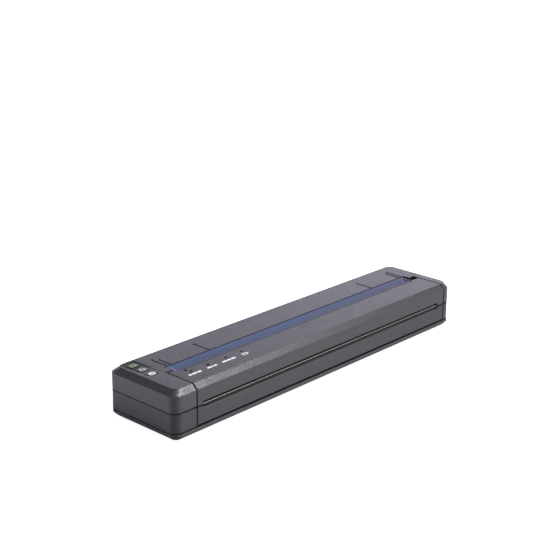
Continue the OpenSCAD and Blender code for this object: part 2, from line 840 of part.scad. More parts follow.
// Compression spring: one round wire swept along a helix with flat pitch ends
module coil_spring(h) {
    rings = 8 * max(1, floor((h - spring_wire) / spring_pitch));
    sides = 6;
    wire_r = spring_wire / 2;
    rise = (h - spring_wire) / rings;
    ring = function(i) [for (s = [0:sides - 1])
        let (a = 360 * i / 8, out = spring_r + wire_r * cos(360 * s / sides))
            [out * cos(a), out * sin(a), wire_r + rise * i + wire_r * sin(360 * s / sides)]];
    points = [for (i = [0:rings]) each ring(i)];
    walls = [for (i = [0:rings - 1], s = [0:sides - 1])
        let (t = (s + 1) % sides, a = i * sides, b = a + sides)
            each [[a + s, b + s, b + t], [a + s, b + t, a + t]]];
    ends = [for (s = [1:sides - 2]) each
        [[0, s, s + 1], [rings * sides, rings * sides + s + 1, rings * sides + s]]];
    polyhedron(points, concat(walls, ends));
}

module head_springs() {
    color(steel) for (x = spring_xs)
        translate([x, platen_y, floor_z + rail_t]) coil_spring(spring_h);
}

module paper_guide() {
    color(part_black) difference() {
        along_x(roll_x0, roll_x1) {
            translate([plate_front_y, guide_bend_z]) square([guide_t, top_in - guide_bend_z]);
            ring_part(guide_c, guide_r - guide_t, guide_r, -guide_sweep, 0);
        }
        block(sensor_x - fit, sensor_x + sensor_w + fit, plate_front_y - over, bay_y0,
              guide_bend_z - fit, guide_bend_z + sensor_h + fit);
    }
}

module head_pivot_rod() {
    color(steel) rod_x(plate_l_x0, plate_r_x1, [pivot_y, pivot_z], pivot_r);
}

module heat_sink() {
    x0 = roll_x0 + head_end_gap;
    x1 = roll_x1 - head_end_gap;
    fin = 1.4;
    fin_y0 = platen_y + peg_r + run_gap + fin / 2;
    color(steel) difference() {
        union() {
            along_x(x0, x1)
                translate([platen_y - sink_front, sink_z - sink_t])
                    square([sink_front + sink_rear, sink_t]);
            for (x = [x0, x1 - eye_l]) along_x(x, x + eye_l) {
                translate([pivot_y, pivot_z]) circle(r = pivot_eye_r, $fn = round_n);
                translate([pivot_y - pivot_eye_r - fin, pivot_z - pivot_eye_r / 2])
                    square([pivot_eye_r + fin, pivot_eye_r]);
            }
        }
        for (i = [0:2])
            along_x(x0 + 2 * eye_l, x1 - 2 * eye_l)
                translate([fin_y0 + 2 * fin * i, sink_z - sink_t - over])
                    square([fin, over + sink_t / 2]);
        rod_x(x0 - over, x1 + over, [pivot_y, pivot_z], pivot_r + shaft_fit);
    }
}

module heater_plate() {
    color(ceramic_white) block(roll_x0 + head_end_gap, roll_x1 - head_end_gap,
        platen_y - heater_front, platen_y + heater_rear, sink_z, heater_z);
}

module driver_cover() {
    color(part_black) along_x(roll_x0 + head_end_gap, roll_x1 - head_end_gap)
        polygon([[driver_y0, heater_z], [platen_y + heater_rear - fit, heater_z],
                 [platen_y + heater_rear - fit, heater_z + driver_h],
                 [driver_y0 + driver_h / 2, heater_z + driver_h], [driver_y0, heater_z + driver_h / 2]]);
}

module main_board() {
    color(board_green) slab(main_board_z, main_board_z + board_t)
        round_rect(battery_x0, battery_x1, board_y0, board_y1, edge_r);
}

// Chips, coils and capacitors between the main board and the shelf above it
module board_parts() {
    top = main_board_z + board_t;
    room = bay_shelf_z - top - run_gap;
    board_l = battery_x1 - battery_x0;
    color(part_black) {
        for (share = chip_shares)
            block(battery_x0 + board_l * share - chip_w / 2, battery_x0 + board_l * share + chip_w / 2,
                  board_y0 + can_r, board_y0 + can_r + chip_w, top, top + room / 2);
        for (share = can_shares)
            slab(top, top + room) translate([battery_x0 + board_l * share, board_y1 - 3 * can_r / 2])
                circle(r = can_r, $fn = round_n);
    }
}

module battery_pack() {
    color(pack_grey) {
        along_x(battery_x0 + pack_end, battery_x1 - pack_end)
            round_rect(bay_y1 + battery_gap, battery_y1, bay_floor_z, battery_top, battery_r);
        for (x = [battery_x0, battery_x1 - pack_end - edge_r])
            along_x(x, x + pack_end + edge_r)
                round_rect(bay_y1 + battery_gap + edge_r, battery_y1 - edge_r,
                           bay_floor_z, battery_top - edge_r, battery_r);
    }
}

// Contact block on the right jamb, with blades that meet the end of the pack
module battery_contacts() {
    x0 = battery_x1 + fit;
    mid_y = (bay_y1 + battery_y1) / 2;
    color(part_black) block(x0 + contact_t, door_x1 + door_gap, mid_y - contact_w / 2,
                            mid_y + contact_w / 2, bay_floor_z, bay_floor_z + contact_h);
    color(brass_gold) for (i = [-1:1])
        block(x0, x0 + contact_t, mid_y + blade_pitch * i - blade_w / 2,
              mid_y + blade_pitch * i + blade_w / 2,
              bay_floor_z + contact_t, bay_floor_z + contact_h - contact_t);
}

module drive_motor() {
    x1 = door_x0 - door_gap - jamb_t - run_gap;
    cap_t = 1.5;
    color(zinc) difference() {
        union() {
            rod_x(plate_l_x1, x1 - cap_t, pinion_at, motor_r);
            rod_x(x1 - cap_t - over, x1 - cap_t / 2, pinion_at, motor_r - cap_t);
            rod_x(x1 - cap_t - over, x1, pinion_at, motor_r / 3);
        }
        rod_x(plate_l_x1 - over, motor_bore_x1, pinion_at, motor_shaft_r + shaft_fit);
    }
}

module gear_posts() {
    x0 = gear_x0 - fit - post_head_t;
    color(steel) for (at = [idler_a_at, idler_b_at]) {
        rod_x(x0, plate_l_x1, at, post_r);
        rod_x(x0, x0 + post_head_t, at, post_head_r);
    }
}

module key_board() {
    color(board_green) difference() {
        block(key_board_x0, key_board_x1, key_ys[0] - key_d, key_ys[2] + key_d,
              key_board_z, key_board_z + board_t);
        for (at = key_screw_at) translate([at[0], at[1], key_board_z - over])
            cylinder(r = key_screw_r + fit, h = board_t + 2 * over, $fn = round_n);
    }
}

module key_screws() {
    color(zinc) for (at = key_screw_at) translate([at[0], at[1], key_board_z - key_screw_r]) {
        cylinder(r = 2 * key_screw_r, h = key_screw_r, $fn = round_n);
        cylinder(r = key_screw_r, h = top_in - key_board_z, $fn = round_n);
    }
}

module key_switches() {
    z0 = key_board_z + board_t;
    color(part_black) for (y = key_ys) difference() {
        block(key_x - switch_w / 2, key_x + switch_w / 2, y - switch_w / 2, y + switch_w / 2,
              z0, z0 + switch_h);
        translate([key_x, y, z0 + switch_h / 3])
            cylinder(r = plunger_r + shaft_fit, h = switch_h, $fn = round_n);
    }
}

module port_board() {
    color(board_green) block(port_x0, port_x1, board_y0, inlet_y + inlet_w / 2, port_z, port_z + board_t);
}

module power_inlet() {
    x1 = right_x - wall - fit;
    x0 = x1 - inlet_l;
    mouth_x = inlet_face_x - inlet_mouth_l;
    color(part_black) {
        difference() {
            union() {
                block(x0, x1, inlet_y - inlet_w / 2, inlet_y + inlet_w / 2,
                      inlet_z - inlet_w / 2, inlet_z + inlet_w / 2);
                rod_x(x1 - over, inlet_face_x, [inlet_y, inlet_z], inlet_nose_r);
            }
            rod_x(mouth_x, right_x + over, [inlet_y, inlet_z], inlet_r);
            rod_x(x0 + inlet_back, mouth_x + over, [inlet_y, inlet_z], inlet_deep_r);
        }
        rod_x(x0 + inlet_back / 2, mouth_x - inlet_pin_back, [inlet_y, inlet_z], inlet_pin_r);
    }
}

module usb_socket() {
    x1 = right_x - wall / 2;
    x0 = port_x1 - usb_l;
    in_y = usb_w / 2 - usb_shell;
    in_z = usb_h / 2 - usb_shell;
    color(zinc) difference() {
        along_x(x0, x1) round_rect(usb_y - usb_w / 2, usb_y + usb_w / 2,
                                   usb_z - usb_h / 2, usb_z + usb_h / 2, usb_r);
        along_x(x0 + usb_shell, x1 + over)
            round_rect(usb_y - in_y, usb_y + in_y, usb_z - in_z, usb_z + in_z, usb_r - usb_shell);
    }
    color(part_black) block(x0 + usb_shell / 2, x1 - wall, usb_y - usb_w / 3, usb_y + usb_w / 3,
                            usb_z - usb_shell, usb_z + usb_shell);
}

// Reflective sensor on the bay wall, looking through a window of the paper guide
module paper_sensor() {
    color(part_black) block(sensor_x, sensor_x + sensor_w, plate_front_y + guide_t / 4, bay_y0,
                            guide_bend_z, guide_bend_z + sensor_h);
}

module lamp_holes(r, z0, z1) {
    slab(z0, z1) for (at = lamp_at) translate(at) circle(r = r, $fn = round_n);
}

// Outline of a paper rib: between the platen and the curved guide
module rib_outline() {
    intersection() {
        difference() {
            translate(guide_c) circle(r = guide_r - guide_t - rib_gap, $fn = round_n);
            translate(platen_at) circle(r = platen_r + rib_gap, $fn = round_n);
        }
        translate([lamp_board_y1 + fit, platen_z])
            square([cover_d, top_in + wall / 2 - platen_z]);
    }
}

// Hinged cover over the platen: top, bevelled front with the exit slot below it, side walls,
// paper ribs, lamp bosses and a finger scoop at the right
module release_cover() {
    rib_step = (roll_x1 - roll_x0 - 2 * eye_l) / (rib_count - 1);
    color(shell_grey) difference() {
        union() {
            intersection() {
                housing_shell(cover_edge_z - over);
                union() {
                    block(mod_x0, mod_x1, front_y - over, min(step_l_y, step_r_y), mid_z, body_h + over);
                    block(neck_x0, neck_x1, front_y, cover_rear_y, top_in - over, body_h + over);
                    block(neck_x0, mod_x1, front_y, step_r_y, top_in - over, body_h + over);
                }
            }
            // Beside the exit slot the front wall goes down to the seam
            for (span = [[mod_x0, exit_x0], [exit_x1, mod_x1]])
                block(span[0], span[1], front_y, front_y + wall, mid_z, cover_edge_z + over);
            intersection() {
                housing_solid(mid_z);
                union() {
                    block(mod_x0, mod_x0 + side_wall, front_y, step_l_y, mid_z, body_h);
                    block(mod_x1 - side_wall, mod_x1, front_y, step_r_y, mid_z, body_h);
                    block(scoop_x0 - scoop_wall, mod_x1, step_r_y - scoop_r - scoop_wall, step_r_y,
                          scoop_back_z, body_h);
                    block(scoop_x0 - scoop_wall, neck_x1, step_r_y, cover_rear_y, scoop_back_z, body_h);
                }
            }
            for (i = [0:rib_count - 1])
                along_x(roll_x0 + eye_l + rib_step * i - rib_t / 2,
                        roll_x0 + eye_l + rib_step * i + rib_t / 2) rib_outline();
            slab(lamp_board_z + lamp_board_t, top_in + wall / 2)
                for (x = lamp_boss_xs) translate([x, lamp_boss_y]) circle(r = lamp_boss_r, $fn = round_n);
        }
        block(exit_x0, exit_x1, front_y - over, front_y + wall + over, mid_z - over, cover_edge_z);
        strip_seat(fit / 2, body_h - strip_t);
        lamp_holes(lamp_r + shaft_fit, top_in - over, body_h + over);
        rod_x(scoop_x0, mod_x1 - scoop_side, [step_r_y, scoop_z], scoop_r);
        for (span = [[mod_x0 - over, exit_x0], [exit_x1, mod_x1 + over]])
            block(span[0], span[1], front_y - over, front_y + seam, mid_z - over, mid_z + front_reveal);
        for (x = module_screw_xs) translate([x, (web_y0 + web_y1) / 2, top_in - over])
            cylinder(r = screw_r + screw_fit, h = over + wall / 2, $fn = round_n);
        slab(lamp_board_z, lamp_board_z + lamp_board_t + lamp_screw_l + fit)
            for (x = lamp_boss_xs)
                translate([x, lamp_boss_y]) circle(r = screw_r + screw_fit, $fn = round_n);
    }
}

// Space of the blue strip in the top of the cover, from z up, with a gap round it
module strip_seat(gap, z) {
    slab(z, body_h + over) difference() {
        round_rect(strip_x0 - gap, strip_x1 + gap, strip_y0 - gap, cover_rear_y + strip_r, strip_r);
        translate([left_x, cover_rear_y + (gap > 0 ? over : 0)]) square([body_w, strip_r + over]);
    }
}

module neck_strip() {
    slot_w = 1;
    slot_l = 4;
    slot_in = 2.6;
    slot_back = 7.5;
    color(strip_blue) difference() {
        intersection() {
            strip_seat(0, body_h - strip_t);
            block(left_x, right_x, front_y, rear_y, 0, body_h);
        }
        lamp_holes(lamp_r + shaft_fit, top_in, body_h + over);
        block(strip_x1 - slot_in, strip_x1 - slot_in + slot_w, cover_rear_y - slot_back,
              cover_rear_y - slot_back + slot_l, body_h - strip_t / 2, body_h + over);
    }
}

// Lower front panel of the module with the shelf that the sheet leaves over
module front_panel() {
    in_y = front_y + wall;
    color(panel_grey) difference() {
        union() {
            along_x(mod_x0, mod_x1) {
                translate([front_y + edge_r, groove_top]) square([wall - edge_r, mid_z - groove_top]);
                translate([front_y, groove_top + edge_r])
                    square([wall, mid_z - groove_top - edge_r]);
                translate([front_y + edge_r, groove_top + edge_r]) circle(r = edge_r, $fn = round_n);
            }
            for (x = [mod_x0, mod_x1 - side_wall]) along_x(x, x + side_wall)
                polygon([[in_y - fit, groove_top], [platen_y - side_wall, groove_top],
                         [platen_y + platen_r + side_wall, mid_z], [in_y - fit, mid_z]]);
            rod_x(mod_x0, mod_x0 + boss_l, [hinge_y, hinge_z], boss_r);
            rod_x(mod_x1 - boss_l, mod_x1, [hinge_y, hinge_z], boss_r);
            along_x(roll_x0, roll_x1)
                polygon([[in_y - fit, panel_top_z], [in_y + shelf_reach, panel_top_z - shelf_drop],
                         [in_y + shelf_reach, panel_top_z - shelf_drop - shelf_t],
                         [in_y - fit, panel_top_z - shelf_t]]);
        }
        along_x(exit_x0, exit_x1)
            polygon([[front_y - over, panel_top_z - panel_bevel_h],
                     [front_y, panel_top_z - panel_bevel_h],
                     [front_y + panel_bevel_d, panel_top_z], [in_y + over, panel_top_z],
                     [in_y + over, mid_z + over], [front_y - over, mid_z + over]]);
        rod_x(mod_x0 - over, mod_x0 + boss_l + over, [hinge_y, hinge_z], pin_r + screw_fit);
        rod_x(mod_x1 - boss_l - over, mod_x1 + over, [hinge_y, hinge_z], pin_r + screw_fit);
    }
}

// Bent steel strip: flange behind the cover's front wall, edge down in the exit slot
module tear_bar() {
    in_y = front_y + wall;
    tip_y = front_y + tear_tip_in;
    color(steel) along_x(exit_x0 + fit, exit_x1 - fit)
        polygon([[in_y, cover_edge_z + tear_flange], [in_y, cover_edge_z], [tip_y, tear_tip_z + tear_t],
                 [tip_y, tear_tip_z], [in_y + tear_t, cover_edge_z - tear_t],
                 [in_y + tear_t, cover_edge_z + tear_flange]]);
}

// Steel channel under the cover whose arms hold the bushes of the platen
module release_frame() {
    web_z = top_in - web_t;
    web_mid = [(web_y0 + web_y1) / 2, web_z + web_t / 2];
    color(steel) difference() {
        union() {
            block(arm_l_x0, arm_r_x1, web_y0, web_y1, web_z, top_in);
            for (x = [arm_l_x0, arm_r_x0]) along_x(x, x + arm_t) {
                translate(platen_at) circle(r = arm_eye_r, $fn = round_n);
                intersection() {
                    strut(platen_at, web_mid + [0, wall], (web_y1 - web_y0) / 2);
                    translate([front_y, 0]) square([body_d, top_in]);
                }
            }
        }
        for (x = [arm_l_x0, arm_r_x0])
            rod_x(x - over, x + arm_t + over, platen_at, bush_r + screw_fit);
        for (x = module_screw_xs) translate([x, web_mid[0], web_z - over])
            cylinder(r = screw_r + run_gap, h = web_t + 2 * over, $fn = round_n);
    }
}

module platen_bushes() {
    color(gear_white) for (span = [[plate_l_x0, arm_l_x1], [arm_r_x0, plate_r_x1]])
        difference() {
            rod_x(span[0], span[1], platen_at, bush_r);
            rod_x(span[0] - over, span[1] + over, platen_at, shaft_r + shaft_fit);
        }
}

module hinge_pins() {
    color(steel) {
        rod_x(cap_l_x - cap_wall, mod_x0 + boss_l, [hinge_y, hinge_z], pin_r);
        rod_x(mod_x1 - boss_l, cap_r_x + cap_wall, [hinge_y, hinge_z], pin_r);
    }
}

module led_board() {
    color(board_green) difference() {
        block(lamp_board_x0, lamp_board_x1, lamp_board_y0, lamp_board_y1,
              lamp_board_z, lamp_board_z + lamp_board_t);
        slab(lamp_board_z - over, lamp_board_z + lamp_board_t + over)
            for (x = lamp_boss_xs)
                translate([x, lamp_boss_y]) circle(r = screw_r + run_gap, $fn = round_n);
    }
    color(lamp_clear) for (at = lamp_at)
        translate([at[0] - lamp_chip / 2, at[1] - lamp_chip / 2, lamp_board_z + lamp_board_t])
            cube([lamp_chip, lamp_chip, lamp_chip_h]);
}

module led_light_guides() {
    color(lamp_clear) lamp_holes(lamp_r, lamp_board_z + lamp_board_t + lamp_chip_h, body_h - lamp_sink);
}

module module_screws() {
    color(zinc) {
        for (x = module_screw_xs)
            screw_up([x, (web_y0 + web_y1) / 2], top_in - web_t - head_h, top_in + wall / 2 - fit);
        for (x = lamp_boss_xs)
            screw_up([x, lamp_boss_y], lamp_board_z - head_h,
                     lamp_board_z + lamp_board_t + lamp_screw_l);
    }
}

module flat_round(r, flat) {
    intersection() {
        circle(r = r, $fn = round_n);
        translate([-2 * r, -2 * r]) square([4 * r, 2 * r + flat]);
    }
}

module platen_shaft() {
    color(steel) {
        along_x(gear_x0 - fit, gear_x1 + fit) translate(platen_at) flat_round(shaft_r, shaft_flat);
        rod_x(gear_x1 + fit, plate_r_x1 + fit, platen_at, shaft_r);
    }
}

module platen_rubber() {
    color(rubber_black) difference() {
        rod_x(roll_x0, roll_x1, platen_at, platen_r);
        rod_x(roll_x0 - over, roll_x1 + over, platen_at, shaft_r);
    }
}

// Angle in degrees of an involute at radius rho, for the base radius rb
function involute(rb, rho) = rho <= rb ? 0 : tan(acos(rb / rho)) * 180 / PI - acos(rb / rho);
// Half the angle of a tooth at radius rho
function tooth_half(teeth, rho) =
    let (r = pitch_r(teeth), rb = r * cos(pressure_angle),
         half = (PI * gear_module / 2 - gear_backlash) / (2 * r) * 180 / PI)
        half + involute(rb, r) - involute(rb, rho);

// Spur gear outline with one tooth centred on the angle turn
module gear_outline(teeth, turn) {
    r = pitch_r(teeth);
    radii = [for (share = tooth_shares) r + share * gear_module];
    polygon([for (i = [0:teeth - 1]) let (mid = turn + 360 * i / teeth) each concat(
        [for (rho = radii) rho * [cos(mid - tooth_half(teeth, rho)), sin(mid - tooth_half(teeth, rho))]],
        [for (k = [len(radii) - 1:-1:0]) let (rho = radii[k])
            rho * [cos(mid + tooth_half(teeth, rho)), sin(mid + tooth_half(teeth, rho))]])]);
}

module platen_gear() {
    color(gear_white) along_x(gear_x0, gear_x1) translate(platen_at) difference() {
        gear_outline(platen_teeth, platen_turn);
        flat_round(shaft_r + screw_fit, shaft_flat + screw_fit);
    }
}

module idler_gear(at, teeth, turn) {
    color(gear_white) along_x(gear_x0, gear_x1) translate(at) difference() {
        gear_outline(teeth, turn);
        circle(r = post_r + shaft_fit, $fn = round_n);
    }
}
module idler_gear_a() { idler_gear(idler_a_at, idler_a_teeth, idler_a_turn); }
module idler_gear_b() { idler_gear(idler_b_at, idler_b_teeth, idler_b_turn); }

module motor_pinion() {
    color(brass_gold) {
        along_x(gear_x0, gear_x1) translate(pinion_at) gear_outline(pinion_teeth, pinion_turn);
        rod_x(gear_x1 - fit, motor_bore_x1 - fit, pinion_at, motor_shaft_r);
    }
}

module key_cap(i) {
    y = key_ys[i];
    color(key_dark) {
        slab(top_in - fit - key_flange_t / 2, body_h)
            round_rect(key_x - key_w / 2, key_x + key_w / 2, y - key_d / 2, y + key_d / 2, key_r);
        slab(top_in - fit - key_flange_t, top_in - fit)
            round_rect(key_x - key_w / 2 - key_flange, key_x + key_w / 2 + key_flange,
                       y - key_d / 2 - key_flange, y + key_d / 2 + key_flange, key_r);
    }
}
module power_key() { key_cap(2); }
module feed_key() { key_cap(1); }
module link_key() { key_cap(0); }

module plunger(i) {
    z0 = key_board_z + board_t + switch_h / 3 + key_travel + fit;
    color(gear_white) slab(z0, top_in - fit - key_flange_t)
        translate([key_x, key_ys[i]]) circle(r = plunger_r, $fn = round_n);
}
module power_plunger() { plunger(2); }
module feed_plunger() { plunger(1); }
module link_plunger() { plunger(0); }

module battery_door() {
    in_y = rear_y - wall;
    grip_w = 22;
    grip_r = 9;
    grip_d = 1;
    door_ribs = 8;
    door_rib_d = 1;
    color(dark_grey) difference() {
        union() {
            along_x(door_x0, door_x1) {
                translate([in_y, groove_top]) square([wall - edge_r, door_top - groove_top]);
                translate([in_y, groove_top + edge_r]) square([wall, door_top - groove_top - edge_r]);
                translate([rear_y - edge_r, groove_top + edge_r]) circle(r = edge_r, $fn = round_n);
            }
            rod_x(door_x0, door_x0 + boss_l / 2, [door_hinge_y, hinge_z], boss_r);
            rod_x(door_x1 - boss_l / 2, door_x1, [door_hinge_y, hinge_z], boss_r);
            for (i = [1:door_ribs - 1])
                block(door_x0 + (door_x1 - door_x0) * i / door_ribs - rib_t / 2,
                      door_x0 + (door_x1 - door_x0) * i / door_ribs + rib_t / 2,
                      in_y - door_rib_d, in_y + fit, hinge_z + boss_r, door_top - wall);
        }
        // Finger grip: a shallow dish in the upper edge
        translate([(door_x0 + door_x1 - grip_w) / 2, rear_y + grip_r - grip_d, door_top - grip_d])
            rotate([0, 90, 0]) cylinder(r = grip_r, h = grip_w, $fn = round_n);
        rod_x(door_x0 - over, door_x0 + boss_l / 2 + over, [door_hinge_y, hinge_z], pin_r + screw_fit);
        rod_x(door_x1 - boss_l / 2 - over, door_x1 + over, [door_hinge_y, hinge_z], pin_r + screw_fit);
    }
}

module door_pins() {
    color(steel) {
        rod_x(door_x0 - door_gap - jamb_t, door_x0 + boss_l / 2, [door_hinge_y, hinge_z], pin_r);
        rod_x(door_x1 - boss_l / 2, door_x1 + door_gap + jamb_t, [door_hinge_y, hinge_z], pin_r);
    }
}

bottom_cover();
lower_case();
upper_case();
rubber_feet();
case_screws();
side_plate_left();
side_plate_right();
spring_rail();
paper_guide();
head_pivot_rod();
head_springs();
main_board();
board_parts();
battery_pack();
battery_contacts();
drive_motor();
gear_posts();
key_board();
key_switches();
key_screws();
port_board();
power_inlet();
usb_socket();
paper_sensor();
release_cover();
neck_strip();
front_panel();
tear_bar();
release_frame();
platen_bushes();
hinge_pins();
led_board();
led_light_guides();
module_screws();
platen_shaft();
platen_rubber();
platen_gear();
idler_gear_a();
idler_gear_b();
motor_pinion();
heat_sink();
heater_plate();
driver_cover();
power_key();
feed_key();
link_key();
power_plunger();
feed_plunger();
link_plunger();
battery_door();
door_pins();
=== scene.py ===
# Slim portable thermal sheet printer on a pale floor, seen from the front left.
# The fixed frame gives every solid; this script gives them their finishes and adds the
# printed symbols, the heater line and the tray's light rim, which the solids leave out.
import math

import bpy
import numpy as np
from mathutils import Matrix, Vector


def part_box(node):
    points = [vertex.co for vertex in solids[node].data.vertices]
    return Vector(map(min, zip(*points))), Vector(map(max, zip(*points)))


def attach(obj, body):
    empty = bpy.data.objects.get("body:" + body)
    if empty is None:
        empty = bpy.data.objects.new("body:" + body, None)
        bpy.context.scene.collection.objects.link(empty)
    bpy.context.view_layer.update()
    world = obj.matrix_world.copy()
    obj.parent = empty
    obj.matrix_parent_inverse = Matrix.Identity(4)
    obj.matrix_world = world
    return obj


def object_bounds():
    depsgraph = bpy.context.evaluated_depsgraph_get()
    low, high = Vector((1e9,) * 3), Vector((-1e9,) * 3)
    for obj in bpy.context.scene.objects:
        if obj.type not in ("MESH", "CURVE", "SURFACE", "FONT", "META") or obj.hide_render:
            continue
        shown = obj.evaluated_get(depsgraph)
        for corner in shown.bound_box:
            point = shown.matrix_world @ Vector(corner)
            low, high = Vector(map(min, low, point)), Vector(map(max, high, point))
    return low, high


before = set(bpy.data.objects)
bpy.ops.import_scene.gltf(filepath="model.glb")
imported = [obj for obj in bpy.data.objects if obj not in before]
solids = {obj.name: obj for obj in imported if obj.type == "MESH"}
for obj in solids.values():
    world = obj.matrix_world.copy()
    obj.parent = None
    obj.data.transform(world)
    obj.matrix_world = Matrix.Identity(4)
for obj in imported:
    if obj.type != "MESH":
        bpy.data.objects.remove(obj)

# The printer as the solids give it
# Its box is kept; its left end and top place some of the finishes below. Sizes are in
# metres, and the small ones are written in millimetres times mm.
cad_low, cad_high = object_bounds()
mm = 0.001

# The camera
# It stands in front of the left end, a little above the printer, and leans by less than a
# degree. Its axes are worked out from how far it turns, rises and rolls.
turn, rise, roll = (math.radians(angle) for angle in (-47.651, 19.123, 0.669))
stand = (-0.552154, -0.490431, 0.312581)
back = np.array([math.sin(turn) * math.cos(rise), -math.cos(turn) * math.cos(rise),
                 math.sin(rise)])
level = np.array([math.cos(turn), math.sin(turn), 0.0])
upward = np.cross(back, level)
right_axis = level * math.cos(roll) + upward * math.sin(roll)
up_axis = -level * math.sin(roll) + upward * math.cos(roll)
lens = bpy.data.cameras.new("photo_camera")
lens.sensor_width, lens.lens, lens.shift_y = 36.0, 81.95, -0.0004
lens.clip_start, lens.clip_end = 0.05, 20.0
camera = bpy.data.objects.new("photo_camera", lens)
bpy.context.scene.collection.objects.link(camera)
camera.matrix_world = [[*right_axis, 0], [*up_axis, 0], [*back, 0], [*stand, 1]]
bpy.context.scene.camera = camera
bpy.context.scene.view_settings.view_transform = "Standard"


# The floor and the room round it
# A wide sheet of pale paper in a bright room, which darkens overhead and in the near left
# corner. The paper stays white for the eye and keeps the soft shadow.
def new_material(name):
    """An empty node material: the material, its node tree and its surface shader."""
    made = bpy.data.materials.new(name)
    made.use_nodes = True
    return made, made.node_tree, made.node_tree.nodes["Principled BSDF"]


def fill(node, inputs):
    """Fills a node's inputs; each is a pair of its name or place and its value or socket."""
    for name, value in inputs:
        if isinstance(value, bpy.types.NodeSocket):
            node.id_data.links.new(value, node.inputs[name])
        else:
            node.inputs[name].default_value = value
    return node


def put(tree, kind, inputs=(), **settings):
    """Adds one node of a kind to the tree, with its settings and its inputs."""
    made = tree.nodes.new("ShaderNode" + kind)
    for name, value in settings.items():
        setattr(made, name, value)
    return fill(made, inputs)


def calc(tree, operation, *values):
    """The result of one operation on numbers or sockets."""
    return put(tree, "Math", list(enumerate(values)), operation=operation).outputs[0]


def all_of(tree, *shares):
    """Product of shares: 1 only where each of them is 1."""
    whole = shares[0]
    for share in shares[1:]:
        whole = calc(tree, "MULTIPLY", whole, share)
    return whole


def any_of(tree, *shares):
    """Largest of shares."""
    whole = shares[0]
    for share in shares[1:]:
        whole = calc(tree, "MAXIMUM", whole, share)
    return whole


def span(tree, across, along):
    """Length of a flat vector: the root of the sum of the squares of its two parts."""
    return calc(tree, "SQRT", calc(tree, "ADD", calc(tree, "MULTIPLY", across, across),
                                   calc(tree, "MULTIPLY", along, along)))


def step_up(tree, value, low, high, start=0.0, end=1.0):
    """Smooth step: start where value is below low, end where it is above high."""
    return put(tree, "MapRange", [("Value", value), ("From Min", low), ("From Max", high),
                                  ("To Min", start), ("To Max", end)],
               interpolation_type="SMOOTHSTEP").outputs[0]


def vector(tree, operation, *inputs):
    """The result of one operation on vectors; inputs are as those of any node."""
    return put(tree, "VectorMath", inputs, operation=operation).outputs[0]


def object_place(tree):
    """Place on the object, and its three coordinates in metres."""
    whole = put(tree, "TexCoord").outputs["Object"]
    return whole, put(tree, "SeparateXYZ", [(0, whole)]).outputs


def near_side(tree, east, north, least):
    """Dims the near left corner of the room. The share of a direction in plan that points
    into the corner is its dot product with the corner's own direction over its length; the
    result falls from 1 to least as that share goes from 0.3 to 0.95."""
    corner_east, corner_north, no_length = -0.739, -0.674, 1e-4
    dot = calc(tree, "ADD", calc(tree, "MULTIPLY", east, corner_east),
               calc(tree, "MULTIPLY", north, corner_north))
    share = calc(tree, "DIVIDE", dot, calc(tree, "ADD", span(tree, east, north), no_length))
    return step_up(tree, share, 0.3, 0.95, 1.0, least)


def mix_surfaces(tree, share, first, second):
    """A surface or background that goes from first to second as share goes from 0 to 1."""
    return put(tree, "MixShader", [("Fac", share), (1, first.outputs[0]), (2, second.outputs[0])])


room = bpy.data.worlds.new("studio_room")
bpy.context.scene.world = room
room.use_nodes = True
air = room.node_tree
rays = put(air, "LightPath").outputs
outward = put(air, "TexCoord").outputs["Generated"]
east, north, height = put(air, "SeparateXYZ", [(0, outward)]).outputs
# The sides of the room differ in brightness, by where a direction points in plan
in_plan = span(air, east, north)
to_east, to_north = calc(air, "DIVIDE", east, in_plan), calc(air, "DIVIDE", north, in_plan)
dim_corner = near_side(air, east, north, 0.4)
west_side = step_up(air, to_east, -0.8, -0.1, 1.5, 1.0)
rear_side = step_up(air, to_north, -0.4, 0.6, 0.9, 1.5)
far_right = step_up(air, to_north, 0.55, 0.8, 0.95, 0.6)
# Plain surfaces get an even light from each side; gloss mirrors a band over the horizon
# that is gone by half way up; the eye sees white
room_light = fill(air.nodes["Background"], [
    ("Color", (0.95, 0.95, 1.0, 1.0)), ("Strength", all_of(air, dim_corner, west_side, 0.38))])
overhead = calc(air, "ADD", step_up(air, height, 0.2, 0.47, 1.1, 0.03),
                step_up(air, height, 0.24, 0.36, 1.05, 0.0))
overhead = all_of(air, overhead, dim_corner, rear_side, west_side, far_right)
gloss_seen = put(air, "Background", [("Color", (0.95, 0.93, 1.1, 1.0)), ("Strength", overhead)])
white_seen = put(air, "Background", [("Color", (1.0, 1.0, 1.0, 1.0)), ("Strength", 1.0)])
mirrored = any_of(air, rays["Is Glossy Ray"], rays["Is Transmission Ray"])
room_mix = mix_surfaces(air, rays["Is Camera Ray"],
                        mix_surfaces(air, mirrored, room_light, gloss_seen), white_seen)
fill(air.nodes["World Output"], [("Surface", room_mix.outputs[0])])

